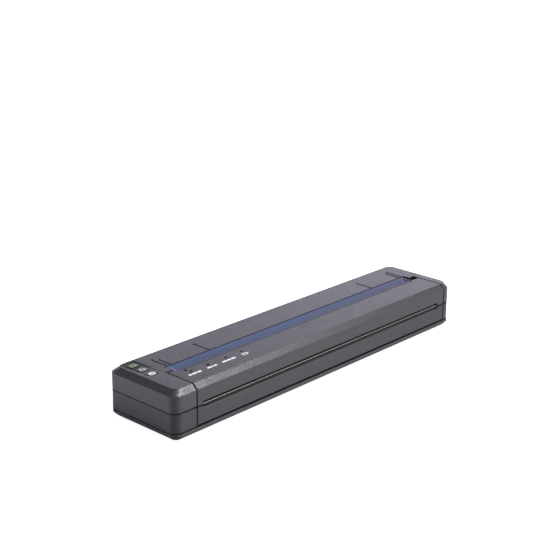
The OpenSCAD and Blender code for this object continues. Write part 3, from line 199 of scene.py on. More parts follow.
paper, tree, shader = new_material("pale_paper")
seen = put(tree, "LightPath").outputs["Is Camera Ray"]
_, (x, y, _) = object_place(tree)
left_end_x, front_y = -122 * mm, -22 * mm
# For gloss and bounced light the paper's colour carries painted light and shade: darker in the
# near left corner and towards the right, lighter left of the printer. The eye sees it white.
dim_corner = near_side(tree, calc(tree, "SUBTRACT", x, left_end_x),
                       calc(tree, "SUBTRACT", y, front_y), 0.45)
left_of_printer = step_up(tree, x, -0.24, -0.13, 1.14, 0.86)
right_half = step_up(tree, x, -0.06, 0.17, 1.0, 0.8)
shade = any_of(tree, seen, all_of(tree, dim_corner, left_of_printer, right_half))
paper_white = (0.85, 0.85, 0.92)
fill(shader, [("Base Color", vector(tree, "SCALE", (0, paper_white), ("Scale", shade))),
              ("Roughness", 0.9), ("Specular IOR Level", 0.1)])
glow = put(tree, "Emission", [("Color", (1.0, 1.0, 1.0, 1.0)),
                              ("Strength", calc(tree, "MULTIPLY", seen, 0.88))])
lit_paper = put(tree, "AddShader", [(0, shader.outputs[0]), (1, glow.outputs[0])])
fill(tree.nodes["Material Output"], [("Surface", lit_paper.outputs[0])])
reach = 6.0
sheet = bpy.data.meshes.new("floor")
sheet.from_pydata([(-reach, -reach, 0), (reach, -reach, 0), (reach, reach, 0), (-reach, reach, 0)],
                  [], [(0, 1, 2, 3)])
floor = bpy.data.objects.new("floor", sheet)
bpy.context.scene.collection.objects.link(floor)
floor.data.materials.append(paper)

# The lamp
# One soft square box of light, hung high in front of the right end and turned to shine on
# the left end.
lamp_place, lamp_aim, lamp_side = (0.261, -0.547, 0.917), (-0.119, -0.024, 0.027), 0.52
soft_box = bpy.data.lights.new("high_lamp", "AREA")
soft_box.shape, soft_box.size, soft_box.energy = "SQUARE", lamp_side, 14.8
lamp = bpy.data.objects.new("high_lamp", soft_box)
bpy.context.scene.collection.objects.link(lamp)
away = np.array(lamp_place) - np.array(lamp_aim)
away /= np.linalg.norm(away)
side = np.cross((0.0, 1.0, 0.0), away)
side /= np.linalg.norm(side)
lamp.matrix_world = [[*side, 0], [*np.cross(away, side), 0], [*away, 0], [*lamp_place, 1]]


# The base tray
# A shallow tray with a light rim and a bevel under it, moulded of dark filled plastic in a
# spark-eroded mould. It is screwed up into the shell and stands on four rubber pads.
def dress(made, *names):
    """Gives the finish to each named solid, in the slot that the solid already has."""
    for name in names:
        for place in solids[name].material_slots:
            place.material = made


def blend_colour(tree, share, first, second):
    """Colour that goes from first to second as share goes from 0 to 1."""
    colours = [value if isinstance(value, bpy.types.NodeSocket) else (*value, 1.0)
               for value in (first, second)]
    return put(tree, "Mix", [("Factor", share), (6, colours[0]), (7, colours[1])],
               data_type="RGBA").outputs[2]


def grain(tree, place, size, detail=2.0):
    """Noise from 0 to 1 whose grains are about size across."""
    return put(tree, "TexNoise", [("Vector", place), ("Scale", 1 / size), ("Detail", detail),
                                  ("Roughness", 0.6)]).outputs["Fac"]


def raised(tree, height, depth, strength=1.0, under=None):
    """Normal of a surface that height raises by up to depth, over the normal under it."""
    inputs = [("Strength", strength), ("Distance", depth), ("Height", height)]
    if under:
        inputs.append(("Normal", under))
    return put(tree, "Bump", inputs).outputs[0]


def moulded(name, colour, rough, pit=0.35 * mm, depth=0.02 * mm, edge=0.25 * mm, drift=0.12,
            shine=0.5):
    """Moulded plastic, rounded by edge. Its colour is multiplied by clouds that drift and by
    pits and lumps. Its normal leans by a fixed part of each fleck's colour less middle grey,
    then lumps raise it, and then pits of the given size and depth."""
    cloud_size, lump_size, lump_depth = 20 * mm, 0.8 * mm, 0.055 * mm
    fleck_size, lean = 0.6 * mm, 0.34
    made, tree, shader = new_material(name)
    place, _ = object_place(tree)
    clouds = grain(tree, place, cloud_size, 3.0)
    pits = grain(tree, place, pit)
    lumps = grain(tree, place, lump_size, 1.0)
    tone = all_of(tree, calc(tree, "MULTIPLY_ADD", clouds, drift, 1 - drift / 2),
                  calc(tree, "MULTIPLY_ADD", calc(tree, "ADD", pits, lumps), 0.35, 0.65))
    if edge:
        upright = put(tree, "Bevel", [("Radius", edge)], samples=4).outputs[0]
    else:
        upright = put(tree, "NewGeometry").outputs["Normal"]
    flecks = put(tree, "TexNoise", [("Vector", place), ("Scale", 1 / fleck_size),
                                    ("Detail", 0.0)]).outputs["Color"]
    off_grey = vector(tree, "SUBTRACT", (0, flecks), (1, (0.5, 0.5, 0.5)))
    leaning = vector(tree, "MULTIPLY_ADD", (0, off_grey), (1, (lean, lean, lean)), (2, upright))
    leaning = vector(tree, "NORMALIZE", (0, leaning))
    lumpy = raised(tree, lumps, lump_depth, under=leaning)
    fill(shader, [("Base Color", vector(tree, "SCALE", (0, colour), ("Scale", tone))),
                  ("Roughness", step_up(tree, pits, 0.3, 0.7, rough - 0.05, rough + 0.07)),
                  ("Specular IOR Level", shine),
                  ("Normal", raised(tree, pits, depth, under=lumpy))])
    return made, tree, shader


def painted_shade(tree, shader, share):
    """Painted shade, brown black and dull where share is 1: for the walls inside a gap and other
    places where little light comes.
    """
    dark, dull = (0.005, 0.003, 0.002), 0.95
    colour, rough = (shader.inputs[name].links[0].from_socket
                     for name in ("Base Color", "Roughness"))
    fill(shader, [("Base Color", blend_colour(tree, share, colour, dark)),
                  ("Roughness", calc(tree, "MULTIPLY_ADD", calc(tree, "SUBTRACT", dull, rough),
                                     share, rough))])


def new_piece(name, points, faces, finish, body):
    """A mesh from arrays of points and faces, finished, on its body, with its slot."""
    mesh = bpy.data.meshes.new(name)
    mesh.from_pydata(points.tolist(), [], faces)
    mesh.materials.append(finish)
    piece = bpy.data.objects.new(name, mesh)
    bpy.context.scene.collection.objects.link(piece)
    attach(piece, body)


def carried(path, profile, closed=False):
    """A closed profile carried along a flat path: point = path + side * across + up * height.
    The side at a bend is the mean of its neighbours, drawn out by one over its length."""
    path, profile = np.asarray(path, float), np.asarray(profile, float)
    count, around = len(path), len(profile)
    ahead = np.roll(path, -1, 0) - path
    if not closed:
        ahead[-1] = ahead[-2]
    ahead /= np.linalg.norm(ahead, axis=1)[:, None]
    behind = np.roll(ahead, 1, 0)
    if not closed:
        behind[0] = ahead[0]
    quarter_turn = np.array([[0.0, 1.0, 0.0], [-1.0, 0.0, 0.0], [0.0, 0.0, 0.0]])
    side = (ahead + behind) @ quarter_turn
    side /= (side * side).sum(1)[:, None] / 2
    points = (path[:, None, :] + side[:, None, :] * profile[None, :, :1]
              + np.array([0.0, 0.0, 1.0]) * profile[None, :, 1:])
    rows = count if closed else count - 1
    i, j = np.meshgrid(np.arange(rows), np.arange(around), indexing="ij")
    k, n = (i + 1) % count, (j + 1) % around
    faces = np.stack([i * around + j, k * around + j, k * around + n, i * around + n], -1)
    faces = faces.reshape(-1, 4).tolist()
    if not closed:
        faces += [list(range(around)), list(range((count - 1) * around, count * around))[::-1]]
    return points.reshape(-1, 3), faces


def flat_bar(width, height):
    """Section of a flat bar: a rectangle that stands on the path and is as wide as width."""
    return [(-width / 2, 0.0), (-width / 2, height), (width / 2, height), (width / 2, 0.0)]


tray_plastic, tree, shader = moulded("tray_plastic", (0.034, 0.032, 0.034), 0.34, shine=0.7)
_, (x, y, z) = object_place(tree)
# Painted shade on the tray's outer bevel under the rim, which faces the floor.
outer_wall = any_of(tree, step_up(tree, calc(tree, "ABSOLUTE", y), 25.2 * mm, 25.8 * mm),
                    step_up(tree, calc(tree, "ABSOLUTE", x), 125 * mm, 125.6 * mm))
painted_shade(tree, shader, all_of(tree, outer_wall, step_up(tree, z, 2.3 * mm, 2.8 * mm, 0.9, 0.0)))
dress(tray_plastic, "bottom_cover")

pad_rubber, _, _ = moulded("pad_rubber", (0.022, 0.022, 0.023), 0.7, 0.5 * mm, 0.03 * mm, 0.0)
dress(pad_rubber, "rubber_feet")

rim_w, rim_h, rim_z, rim_r, rim_steps = 0.94 * mm, 0.75 * mm, 3.8 * mm, 5.0 * mm, 9
tray_low, tray_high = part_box("bottom_cover")
rim_path = []
for way_x, way_y, start in ((1, 1, 0), (-1, 1, 90), (-1, -1, 180), (1, -1, 270)):
    bend_x = (tray_high.x if way_x > 0 else tray_low.x) - way_x * (rim_w / 2 + rim_r)
    bend_y = (tray_high.y if way_y > 0 else tray_low.y) - way_y * (rim_w / 2 + rim_r)
    angles = np.radians(np.linspace(0, 90, rim_steps)) + math.radians(start)
    rim_path.append(np.stack([bend_x + rim_r * np.cos(angles), bend_y + rim_r * np.sin(angles),
                              np.full(rim_steps, rim_z)], 1))
points, faces = carried(np.concatenate(rim_path), flat_bar(rim_w, rim_h), True)
new_piece("tray_rim", points, faces, tray_plastic, "base")


# The screws, rods, plates and springs of steel
# Turned or stamped steel with drawn lines along the length and a thin bright plating;
# the wire of the springs is darker where it was wound.
def stretched(tree, place, shares):
    """Place with each coordinate multiplied by its share, so that a pattern grows longer
    along an axis whose share is small."""
    return vector(tree, "MULTIPLY", (0, place), (1, shares))


def bright_metal(name, colour, rough, stretch=(0.05, 1.0, 1.0), size=0.12 * mm):
    """Metal whose fine lines run along the axis with the small share in stretch."""
    made, tree, shader = new_material(name)
    place, _ = object_place(tree)
    lines = grain(tree, stretched(tree, place, stretch), size, 3.0)
    clouds = grain(tree, place, 6 * mm)
    tint = blend_colour(tree, clouds, tuple(0.82 * part for part in colour), colour)
    fill(shader, [("Base Color", tint), ("Metallic", 1.0),
                  ("Roughness", step_up(tree, lines, 0.25, 0.75, rough - 0.06, rough + 0.1)),
                  ("Normal", raised(tree, lines, 0.004 * mm, 0.6))])
    return made


plate_steel = bright_metal("plate_steel", (0.56, 0.57, 0.59), 0.34)
dress(plate_steel, "side_plate_left", "side_plate_right", "spring_rail", "release_frame")
rod_steel = bright_metal("rod_steel", (0.62, 0.63, 0.65), 0.22)
dress(rod_steel, "head_pivot_rod", "gear_posts", "platen_shaft", "hinge_pins", "door_pins")
spring_steel = bright_metal("spring_steel", (0.46, 0.46, 0.47), 0.3, (1.0, 1.0, 0.3))
dress(spring_steel, "head_springs")
zinc_plate = bright_metal("zinc_plate", (0.58, 0.6, 0.62), 0.3, (1.0, 1.0, 1.0), 0.3 * mm)
dress(zinc_plate, "case_screws", "key_screws", "module_screws", "drive_motor", "usb_socket")


# The print head
# A finned bar of drawn aluminium carries the white ceramic heater plate; a black cover hides
# its driver chips, and the heater line is a thin brown glass bead right under the platen.
def two_tone(name, first, second, size, rough, shine=0.5):
    """A plain finish whose colour goes from first to second with grains of one size."""
    made, tree, shader = new_material(name)
    place, _ = object_place(tree)
    fill(shader, [("Base Color", blend_colour(tree, grain(tree, place, size), first, second)),
                  ("Roughness", rough), ("Specular IOR Level", shine)])
    return made


fin_metal = bright_metal("fin_metal", (0.66, 0.67, 0.69), 0.38)
dress(fin_metal, "heat_sink")

glazed, tree, shader = new_material("glazed_ceramic")
place, (x, y, _) = object_place(tree)
conductor_pitch = 0.5 * mm
conductors = calc(tree, "FRACT", calc(tree, "MULTIPLY", x, 1 / conductor_pitch))
gold = all_of(tree, step_up(tree, y, -13.6 * mm, -13.4 * mm),
              step_up(tree, conductors, 0.4, 0.6), 0.6)
plain = blend_colour(tree, grain(tree, place, 0.5 * mm, 3.0),
                     (0.62, 0.6, 0.55), (0.74, 0.72, 0.66))
fill(shader, [("Base Color", blend_colour(tree, gold, plain, (0.5, 0.36, 0.14))),
              ("Roughness", 0.2), ("Coat Weight", 0.4)])
dress(glazed, "heater_plate")

cover_black, _, _ = moulded("driver_black", (0.02, 0.02, 0.021), 0.5, 0.3 * mm, 0.015 * mm, 0.0)
dress(cover_black, "driver_cover")

bead_glass = two_tone("bead_glass", (0.16, 0.09, 0.05), (0.28, 0.17, 0.1), 0.3 * mm, 0.12)
bead_w, bead_h, bead_y, bead_in, bead_steps = 1.0 * mm, 0.08 * mm, -13 * mm, 1 * mm, 24
plate_low, plate_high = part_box("heater_plate")
angles = np.linspace(math.pi, 0, 9)
half_round = np.stack([bead_w / 2 * np.cos(angles), bead_h * np.sin(angles)], 1)
along = np.linspace(plate_low.x + bead_in, plate_high.x - bead_in, bead_steps)
bead_path = np.stack([along, np.full(bead_steps, bead_y), np.full(bead_steps, plate_high.z)], 1)
points, faces = carried(bead_path, half_round)
new_piece("heater_line", points, faces, bead_glass, "head")

# The platen roller and its gears
# Black ground rubber moulded on the shaft, with rings from grinding; acetal bushes and gears,
# waxy white and a little see-through; the motor carries a small brass pinion.
roller_rubber, tree, shader = new_material("roller_rubber")
place, _ = object_place(tree)
rings = grain(tree, stretched(tree, place, (1.0, 0.08, 0.08)), 0.25 * mm)
ground_black = blend_colour(tree, rings, (0.018, 0.018, 0.019), (0.034, 0.034, 0.035))
fill(shader, [("Base Color", ground_black), ("Roughness", 0.62),
              ("Normal", raised(tree, rings, 0.01 * mm))])
dress(roller_rubber, "platen_rubber")

acetal, _, shader = moulded("acetal_white", (0.72, 0.7, 0.63), 0.38, 0.8 * mm, 0.006 * mm, 0.0,
                            0.06)
fill(shader, [("Subsurface Weight", 0.15), ("Subsurface Scale", 0.5 * mm)])
dress(acetal, "platen_gear", "idler_gear_a", "idler_gear_b", "platen_bushes",
      "power_plunger", "feed_plunger", "link_plunger")
pinion_brass = bright_metal("pinion_brass", (0.72, 0.52, 0.22), 0.26)
dress(pinion_brass, "motor_pinion")

# The paper guide and the small black mouldings inside
# Glass-filled black nylon, smoother where the sheet slides over it.
guide_black, _, _ = moulded("guide_black", (0.024, 0.024, 0.026), 0.4, 0.6 * mm, 0.01 * mm)
dress(guide_black, "paper_guide", "paper_sensor", "key_switches", "power_inlet")


# The circuit boards and the battery contacts
# Green solder mask over copper, whose traces show as lighter straight runs with round pads
# between them. Chips of black epoxy stand beside metal cans, and the contacts are gilded
# blades in a block of black nylon.
def metal_in_black(tree, shader, place, share, black, metal, rough):
    """Metal where share is 1 and dusty black elsewhere, for a solid that holds both; black
    is the pair of colours that the dust goes between."""
    dusty = blend_colour(tree, grain(tree, place, 0.3 * mm), *black)
    fill(shader, [("Base Color", blend_colour(tree, share, dusty, metal)), ("Metallic", share),
                  ("Roughness", rough)])


board_mask, tree, shader = new_material("board_mask")
place, _ = object_place(tree)
traces = put(tree, "TexBrick", [("Vector", place), ("Scale", 1.0), ("Mortar Size", 0.12 * mm),
                                ("Brick Width", 6 * mm), ("Row Height", 0.9 * mm),
                                ("Color1", (0.0, 0.0, 0.0, 1.0)), ("Color2", (0.3, 0.3, 0.3, 1.0)),
                                ("Mortar", (1.0, 1.0, 1.0, 1.0))]).outputs["Color"]
spots = put(tree, "TexVoronoi", [("Vector", place), ("Scale", 1 / (3.2 * mm))]).outputs["Distance"]
pad = step_up(tree, spots, 0.1, 0.13, 1.0, 0.0)
mask = blend_colour(tree, traces, (0.012, 0.11, 0.05), (0.03, 0.2, 0.09))
fill(shader, [("Base Color", blend_colour(tree, pad, mask, (0.6, 0.56, 0.42))),
              ("Roughness", 0.32), ("Normal", raised(tree, traces, 0.02 * mm, 0.8))])
dress(board_mask, "main_board", "key_board", "port_board", "led_board")

chip_black, tree, shader = new_material("chips_and_cans")
place, (_, y, _) = object_place(tree)
cans_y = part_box("main_board")[1].y - 5.4 * mm
metal_in_black(tree, shader, place, step_up(tree, y, cans_y, cans_y + 0.1 * mm),
               ((0.014, 0.014, 0.015), (0.03, 0.03, 0.032)), (0.5, 0.51, 0.53), 0.42)
dress(chip_black, "board_parts")

contact_finish, tree, shader = new_material("contact_finish")
place, (x, _, _) = object_place(tree)
blades_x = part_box("battery_contacts")[0].x + 1.0 * mm
metal_in_black(tree, shader, place, step_up(tree, x, blades_x, blades_x + 0.02 * mm, 1.0, 0.0),
               ((0.018, 0.018, 0.019), (0.03, 0.03, 0.032)), (0.78, 0.6, 0.28), 0.34)
dress(contact_finish, "battery_contacts")

# The battery pack
# Round cells in a dark shrink wrap that follows them in a row of shallow waves, with a
# smooth moulded cap at each end.
cells, end_cap = 3, 4 * mm
wrap, tree, shader = new_material("pack_wrap")
place, (x, _, _) = object_place(tree)
pack_low, pack_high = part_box("battery_pack")
per_cell = math.pi * cells / (pack_high.x - pack_low.x - 2 * end_cap)
turned = calc(tree, "MULTIPLY", calc(tree, "SUBTRACT", x, pack_low.x + end_cap), per_cell)
cell = calc(tree, "ABSOLUTE", calc(tree, "SINE", turned))
crinkle = grain(tree, place, 3 * mm, 4.0)
shape = calc(tree, "ADD", calc(tree, "POWER", cell, 0.3), calc(tree, "MULTIPLY", crinkle, 0.3))
film = blend_colour(tree, crinkle, (0.05, 0.055, 0.068), (0.075, 0.08, 0.095))
fill(shader, [("Base Color", film), ("Roughness", 0.28),
              ("Normal", raised(tree, shape, 0.15 * mm))])
dress(wrap, "battery_pack")


# The lower shell, the rear door and the lower front panel
# Dark grey plastic; the walls of the lower shell carry a coarser pebbled skin than the rest,
# and the panel under the paper exit is plain. Painted shade darkens the joints between the
# mouldings and the top of that panel, under the exit.
def near(tree, value, middle, half, soft=0.08 * mm):
    """1 where value is less than half away from middle, 0 elsewhere, with a soft rim."""
    gap = calc(tree, "ABSOLUTE", calc(tree, "SUBTRACT", value, middle))
    return step_up(tree, gap, half - soft, half + soft, 1.0, 0.0)


def cap_seams(tree, x):
    """1 at the two joints between the end caps and the middle of the printer."""
    play, left_seam, right_seam = 0.2 * mm, 0.62 * mm, 0.64 * mm
    cover_low, cover_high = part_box("release_cover")
    return any_of(tree, near(tree, x, cover_low.x - play, left_seam),
                  near(tree, x, cover_high.x + play, right_seam))


def round_seam(tree, x, z, half):
    """1 at the joint of upper and lower shell, and half of that on the left end's wall."""
    return all_of(tree, near(tree, z, seam_z, half),
                  step_up(tree, x, cad_low.x + 0.5 * mm, cad_low.x + 3 * mm, 0.5, 1.0))


seam_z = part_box("front_panel")[1].z
lower_plastic, tree, shader = moulded("lower_shell_plastic", (0.034, 0.032, 0.037), 0.38,
                                      0.7 * mm, 0.03 * mm, shine=0.65)
_, (x, y, z) = object_place(tree)
# Painted shade at the joints: the end caps' seams on the front wall and the round seam.
front_wall = step_up(tree, y, -22 * mm, -21 * mm, 1.0, 0.0)
painted_shade(tree, shader, any_of(tree, all_of(tree, cap_seams(tree, x), front_wall),
                              round_seam(tree, x, z, 0.45 * mm)))
dress(lower_plastic, "lower_case", "battery_door")

panel_plastic, tree, shader = moulded("front_panel_plastic", (0.031, 0.029, 0.033), 0.34,
                                      shine=0.68)
_, (x, _, z) = object_place(tree)
# Painted shade on the panel's upper band under the paper exit, along its top edge and at the caps'
# joints.
shade_under_exit = all_of(tree, near(tree, z, seam_z, 2.1 * mm, 0.4 * mm),
                    near(tree, x, 3.5 * mm, 109.5 * mm))
painted_shade(tree, shader, any_of(tree, cap_seams(tree, x), shade_under_exit,
                              near(tree, z, seam_z, 0.9 * mm, 0.2 * mm)))
dress(panel_plastic, "front_panel")

# The tear edge
# A bent steel strip in the paper exit. Its front edge is ground bright, and the rest of it
# is painted near black as the shade inside the slot.
tear_steel, tree, shader = new_material("tear_steel")
place, (_, y, _) = object_place(tree)
edge_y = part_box("tear_bar")[0].y
ground = step_up(tree, y, edge_y + 0.05 * mm, edge_y + 0.1 * mm, 1.0, 0.0)
scratches = grain(tree, stretched(tree, place, (0.06, 1.0, 1.0)), 0.15 * mm, 3.0)
bright = blend_colour(tree, scratches, (0.22, 0.2, 0.18), (0.4, 0.37, 0.33))
fill(shader, [("Base Color", blend_colour(tree, ground, (0.016, 0.014, 0.013), bright)),
              ("Metallic", 0.8), ("Roughness", step_up(tree, scratches, 0.3, 0.7, 0.3, 0.42))])
dress(tear_steel, "tear_bar")


# The upper shell
# The same plastic with a fine even pitting. Painted shade darkens the marks that guide the
# sheet's edge, the pits and rear edge of the paper slot, the scoop, the walls of the seams,
# and the rims of the key holes and the floor round the keys.
def sunk(tree, x, y, z):
    """1 in the grooves, pits and slot walls of the flat top, and deeper down in the scoop."""
    flat = all_of(tree, near(tree, x, 5.2 * mm, 116.3 * mm), near(tree, y, 0.0, 23.0 * mm))
    shallow = near(tree, z, shell_top - 0.9 * mm, 0.72 * mm, 0.04 * mm)
    scoop = all_of(tree, near(tree, x, 114 * mm, 5.4 * mm), near(tree, y, -3 * mm, 6.5 * mm),
                   near(tree, z, shell_top - 2.4 * mm, 2.22 * mm, 0.04 * mm))
    return any_of(tree, all_of(tree, flat, shallow), scoop)


def middle_of(name):
    """Middle of a solid's box, in x and y."""
    low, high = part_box(name)
    return (low.x + high.x) / 2, (low.y + high.y) / 2


shell_plastic, tree, shader = moulded("upper_shell_plastic", (0.037, 0.035, 0.04), 0.38, shine=0.8)
_, (x, y, z) = object_place(tree)
shell_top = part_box("upper_case")[1].z
at_top = near(tree, z, shell_top, 0.6 * mm)
front_part = step_up(tree, y, -2.4 * mm, -2.2 * mm, 1.0, 0.0)
# Painted shade along the slot's rear edge.
slot_edge_shade = all_of(tree, near(tree, y, 3.3 * mm, 0.6 * mm), near(tree, x, 4.4 * mm, 110.8 * mm),
                   at_top)
key_half_x, key_half_y = 3.0 * mm, 2.5 * mm
# Painted shade in a thin band round each key hole, where the keys' sides shade the shell.
key_rim_shade = 0.0
for key in ("power_key", "feed_key", "link_key"):
    mid_x, mid_y = middle_of(key)
    off_x = calc(tree, "ABSOLUTE", calc(tree, "SUBTRACT", x, mid_x))
    off_y = calc(tree, "ABSOLUTE", calc(tree, "SUBTRACT", y, mid_y))
    outside = any_of(tree, calc(tree, "SUBTRACT", off_x, key_half_x),
                     calc(tree, "SUBTRACT", off_y, key_half_y))
    key_rim_shade = any_of(tree, key_rim_shade, near(tree, outside, 0.1 * mm, 0.32 * mm))
key_rim_shade = all_of(tree, key_rim_shade, near(tree, z, shell_top, 2 * mm))
# Painted shade on the sunken floor round the keys.
key_floor_shade = all_of(tree, near(tree, x, -117 * mm, 5.6 * mm), near(tree, y, 6 * mm, 17 * mm),
                   near(tree, z, shell_top - 1.3 * mm, mm), 0.35)
# Painted shade along the guide grooves and their ticks.
mark_start, fine, broad = 3.0, 0.55, 0.8
marks = 0.0
for mark_x, mark_end, line_half in (
        (-104.0, 16.25, fine), (-100.96, 13.26, fine), (-70.58, 16.25, fine),
        (80.45, 16.25, broad), (109.96, 14.3, broad), (113.0, 16.25, broad)):
    mark_middle, mark_reach = (mark_start + mark_end) / 2, (mark_end - mark_start) / 2
    line = all_of(tree, near(tree, x, mark_x * mm, line_half * mm),
                  near(tree, y, mark_middle * mm, mark_reach * mm))
    tick = all_of(tree, near(tree, x, mark_x * mm, 1.1 * mm),
                  near(tree, y, (mark_end + 0.2) * mm, 0.5 * mm))
    marks = any_of(tree, marks, line, tick)
# Painted shade in the sunk places, at the seams, along the slot's edge, round the keys and along
# the guide marks.
painted_shade(tree, shader, any_of(
    tree, sunk(tree, x, y, z), all_of(tree, cap_seams(tree, x), front_part), slot_edge_shade, key_rim_shade,
    all_of(tree, marks, at_top), round_seam(tree, x, z, 0.42 * mm), key_floor_shade))
dress(shell_plastic, "upper_case")

# The hinged cover
# The same plastic. Painted shade darkens the five round holes of the lamps, the finger scoop
# and the joints round the cover.
cover_plastic, tree, shader = moulded("cover_plastic", (0.035, 0.033, 0.037), 0.38, shine=0.74)
_, (x, y, z) = object_place(tree)
row_y, hole_rim, hole_edge = -11.3, 1.0 * mm, 1.15 * mm
# Painted shade in a ring round each lamp hole.
lamp_hole_shade = 0.0
for hole_x, hole_y in ((-99.5, row_y), (-100.8, -8.0), (-86.4, row_y), (-72.0, row_y),
                       (-59.3, row_y)):
    radius = span(tree, calc(tree, "SUBTRACT", x, hole_x * mm),
                  calc(tree, "SUBTRACT", y, hole_y * mm))
    lamp_hole_shade = any_of(tree, lamp_hole_shade, step_up(tree, radius, hole_rim, hole_edge, 1.0, 0.0))
painted_shade(tree, shader, any_of(tree, sunk(tree, x, y, z), cap_seams(tree, x), lamp_hole_shade,
                              near(tree, z, seam_z, 0.42 * mm)))
dress(cover_plastic, "release_cover")

# The blue strip along the paper slot
# A thin insert printed with a lattice of fine dots: plain light blue at the slot and the left
# end, darkest between the dots in the middle, and fading into the grey of the cover at the
# front. A painted highlight runs along its slanted right end, with painted shade in the
# groove beside it and in the scoop past it.
strip_blue, tree, shader = new_material("strip_blue")
place, (x, y, _) = object_place(tree)
strip_low, strip_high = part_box("neck_strip")
rows = []
for along, across in ((0.76, -0.36), (0.36, -0.74)):
    turns = calc(tree, "ADD", calc(tree, "MULTIPLY", x, along / mm),
                 calc(tree, "MULTIPLY", y, across / mm))
    rows.append(calc(tree, "COSINE", calc(tree, "MULTIPLY", turns, 2 * math.pi)))
dot = step_up(tree, calc(tree, "ADD", *rows), -0.2, 0.9)
rear = step_up(tree, y, strip_high.y - 3.4 * mm, strip_high.y - 1.8 * mm)
front = step_up(tree, y, strip_low.y + 0.3 * mm, strip_low.y + 3.2 * mm)
left_end = step_up(tree, x, strip_low.x + 1.6 * mm, strip_low.x + 2.6 * mm, 1.0, 0.0)
past_end = calc(tree, "SUBTRACT", x, calc(tree, "MULTIPLY_ADD", y, 0.52, strip_high.x + 1.0 * mm))
# Painted highlight along the slanted right end, and painted shade in the groove beside it.
right_end_highlight = near(tree, past_end, -0.7 * mm, 0.6 * mm)
end_groove_shade = all_of(tree, near(tree, past_end, -2.4 * mm, 0.45 * mm),
                  near(tree, y, -3.1 * mm, 2.7 * mm))
clouds = grain(tree, place, 9 * mm)
between_dots = blend_colour(tree, clouds, (0.003, 0.006, 0.03), (0.006, 0.011, 0.045))
on_dots = blend_colour(tree, clouds, (0.084, 0.125, 0.25), (0.115, 0.165, 0.32))
woven = blend_colour(tree, dot, between_dots, on_dots)
smooth_blue = blend_colour(tree, clouds, (0.037, 0.059, 0.148), (0.048, 0.073, 0.172))
blue = blend_colour(tree, any_of(tree, rear, left_end, right_end_highlight), woven, smooth_blue)
blue = blend_colour(tree, any_of(tree, left_end, right_end_highlight), blue, (0.075, 0.105, 0.21))
faded = blend_colour(tree, all_of(tree, dot, 0.6), (0.034, 0.032, 0.035), (0.09, 0.095, 0.12))
deeper = step_up(tree, x, -60 * mm, 110 * mm, 1.0, 0.72)
printed_blue = blend_colour(tree, front, faded, blue)
fill(shader, [("Base Color", vector(tree, "SCALE", (0, printed_blue), ("Scale", deeper))),
              ("Specular IOR Level", 0.16),
              ("Roughness", step_up(tree, clouds, 0.3, 0.7, 0.4, 0.44)),
              ("Normal", raised(tree, grain(tree, place, 0.35 * mm), 0.01 * mm))])
# Painted shade in the groove by the right end and in the scoop past it.
painted_shade(tree, shader, any_of(tree, end_groove_shade, step_up(tree, past_end, 0.0, 0.3 * mm)))
dress(strip_blue, "neck_strip")


# The lamps in the cover
# Five short light guides of smoked clear plastic end flush with the top. White printed
# marks in front of them stand for what each lamp shows.
def printed(name, strokes, ink, body):
    """One printed mark on the top: a thin film carried along several strokes, each of which
    is (points in x and y, width, closed)."""
    film = 0.02 * mm
    points, faces = np.zeros((0, 3)), []
    for path, width, closed in strokes:
        flat = np.asarray(path, float)
        flat = np.concatenate([flat, np.full((len(flat), 1), cad_high.z)], 1)
        more, sides = carried(flat, flat_bar(width, film), closed)
        faces += [[corner + len(points) for corner in face] for face in sides]
        points = np.concatenate([points, more])
    new_piece(name, points, faces, ink, body)


smoked = two_tone("smoked_guide", (0.012, 0.012, 0.013), (0.022, 0.022, 0.024), 0.3 * mm, 0.45,
                  0.2)
dress(smoked, "led_light_guides")

white_ink = two_tone("white_ink", (0.86, 0.86, 0.88), (0.95, 0.95, 0.97), 0.2 * mm, 0.5)
dash_y, dash_w = -15.0 * mm, 1.5 * mm
for name, start, spans in (("power_lamp_mark", -104.6, ((0, 2.2), (2.7, 5.9), (6.4, 9.4))),
                           ("data_lamp_mark", -90.3, ((0, 2.9), (3.4, 4.6), (5.1, 7.4))),
                           ("status_lamp_mark", -78.3, ((0, 3.6), (4.1, 6.4), (6.9, 10.4)))):
    dashes = [([(start * mm + low * mm, dash_y), (start * mm + high * mm, dash_y)], dash_w, False)
              for low, high in spans]
    printed(name, dashes, white_ink, "release")
left, right, front, rear = -61.9 * mm, -58.6 * mm, -16.1 * mm, -14.1 * mm
cell_outline = [(left, front), (right, front), (right, rear), (left, rear)]
cell_knob = [(-58.3 * mm, -15.1 * mm), (-57.7 * mm, -15.1 * mm)]
printed("charge_lamp_mark", [(cell_outline, 0.55 * mm, True), (cell_knob, 0.9 * mm, False)],
        white_ink, "release")


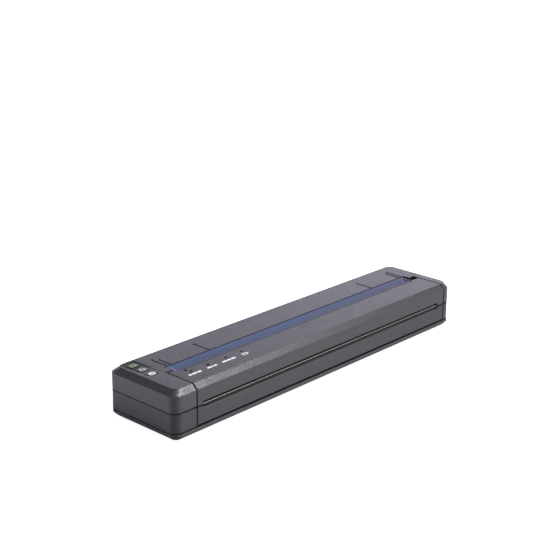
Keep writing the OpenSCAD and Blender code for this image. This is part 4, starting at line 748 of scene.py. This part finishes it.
# The three keys
# Small caps of the shell's plastic, each with a printed symbol: a green power sign at the
# rear, a white sheet sign in the middle and a white ring with a dash at the front.
def arc(x, y, radius, start, end, count):
    """Points on a circle round x, y from one angle to another, in degrees."""
    angles = np.radians(np.linspace(start, end, count))
    return np.stack([x + radius * np.cos(angles), y + radius * np.sin(angles)], 1)


key_plastic, tree, shader = moulded("key_plastic", (0.037, 0.034, 0.037), 0.3, 0.3 * mm,
                                    0.012 * mm, 0.2 * mm, shine=0.8)
_, (_, _, z) = object_place(tree)
# Painted shade on the sides of each cap, below its top face.
painted_shade(tree, shader, step_up(tree, z, cad_high.z - 0.3 * mm, cad_high.z - 0.1 * mm, 1.0, 0.0))
dress(key_plastic, "power_key", "feed_key", "link_key")

green_ink = two_tone("green_ink", (0.14, 0.3, 0.13), (0.22, 0.42, 0.2), 0.2 * mm, 0.5)
mid_x, mid_y = middle_of("power_key")
open_ring = arc(mid_x, mid_y, 1.5 * mm, 125, 415, 32)
upright_bar = [(mid_x, mid_y + 0.1 * mm), (mid_x, mid_y + 1.95 * mm)]
printed("power_symbol", [(open_ring, 0.75 * mm, False), (upright_bar, 0.7 * mm, False)],
        green_ink, "power_button")
mid_x, mid_y = middle_of("feed_key")
sheet_corner = ((0.2, 1.2), (-1.3, 1.2), (-1.3, -1.3))
shaft, arrow_head = ((0.9, 1.1), (0.9, -0.3)), ((0.2, -0.2), (0.9, -1.1), (1.6, -0.2))
printed("feed_symbol", [
    ([(mid_x + right * mm, mid_y + far * mm) for right, far in path], width, False)
    for path, width in ((sheet_corner, 0.42 * mm), (shaft, 0.4 * mm), (arrow_head, 0.4 * mm))],
        white_ink, "feed_button")
mid_x, mid_y = middle_of("link_key")
ring = arc(0.0, 0.0, 1.0, 0, 360, 33)[:-1] * (1.8 * mm, 1.35 * mm) + (mid_x, mid_y)
dash = [(mid_x - 0.75 * mm, mid_y), (mid_x + 0.1 * mm, mid_y)]
printed("link_symbol", [(ring, 0.8 * mm, True), (dash, 0.9 * mm, False)],
        white_ink, "link_button")
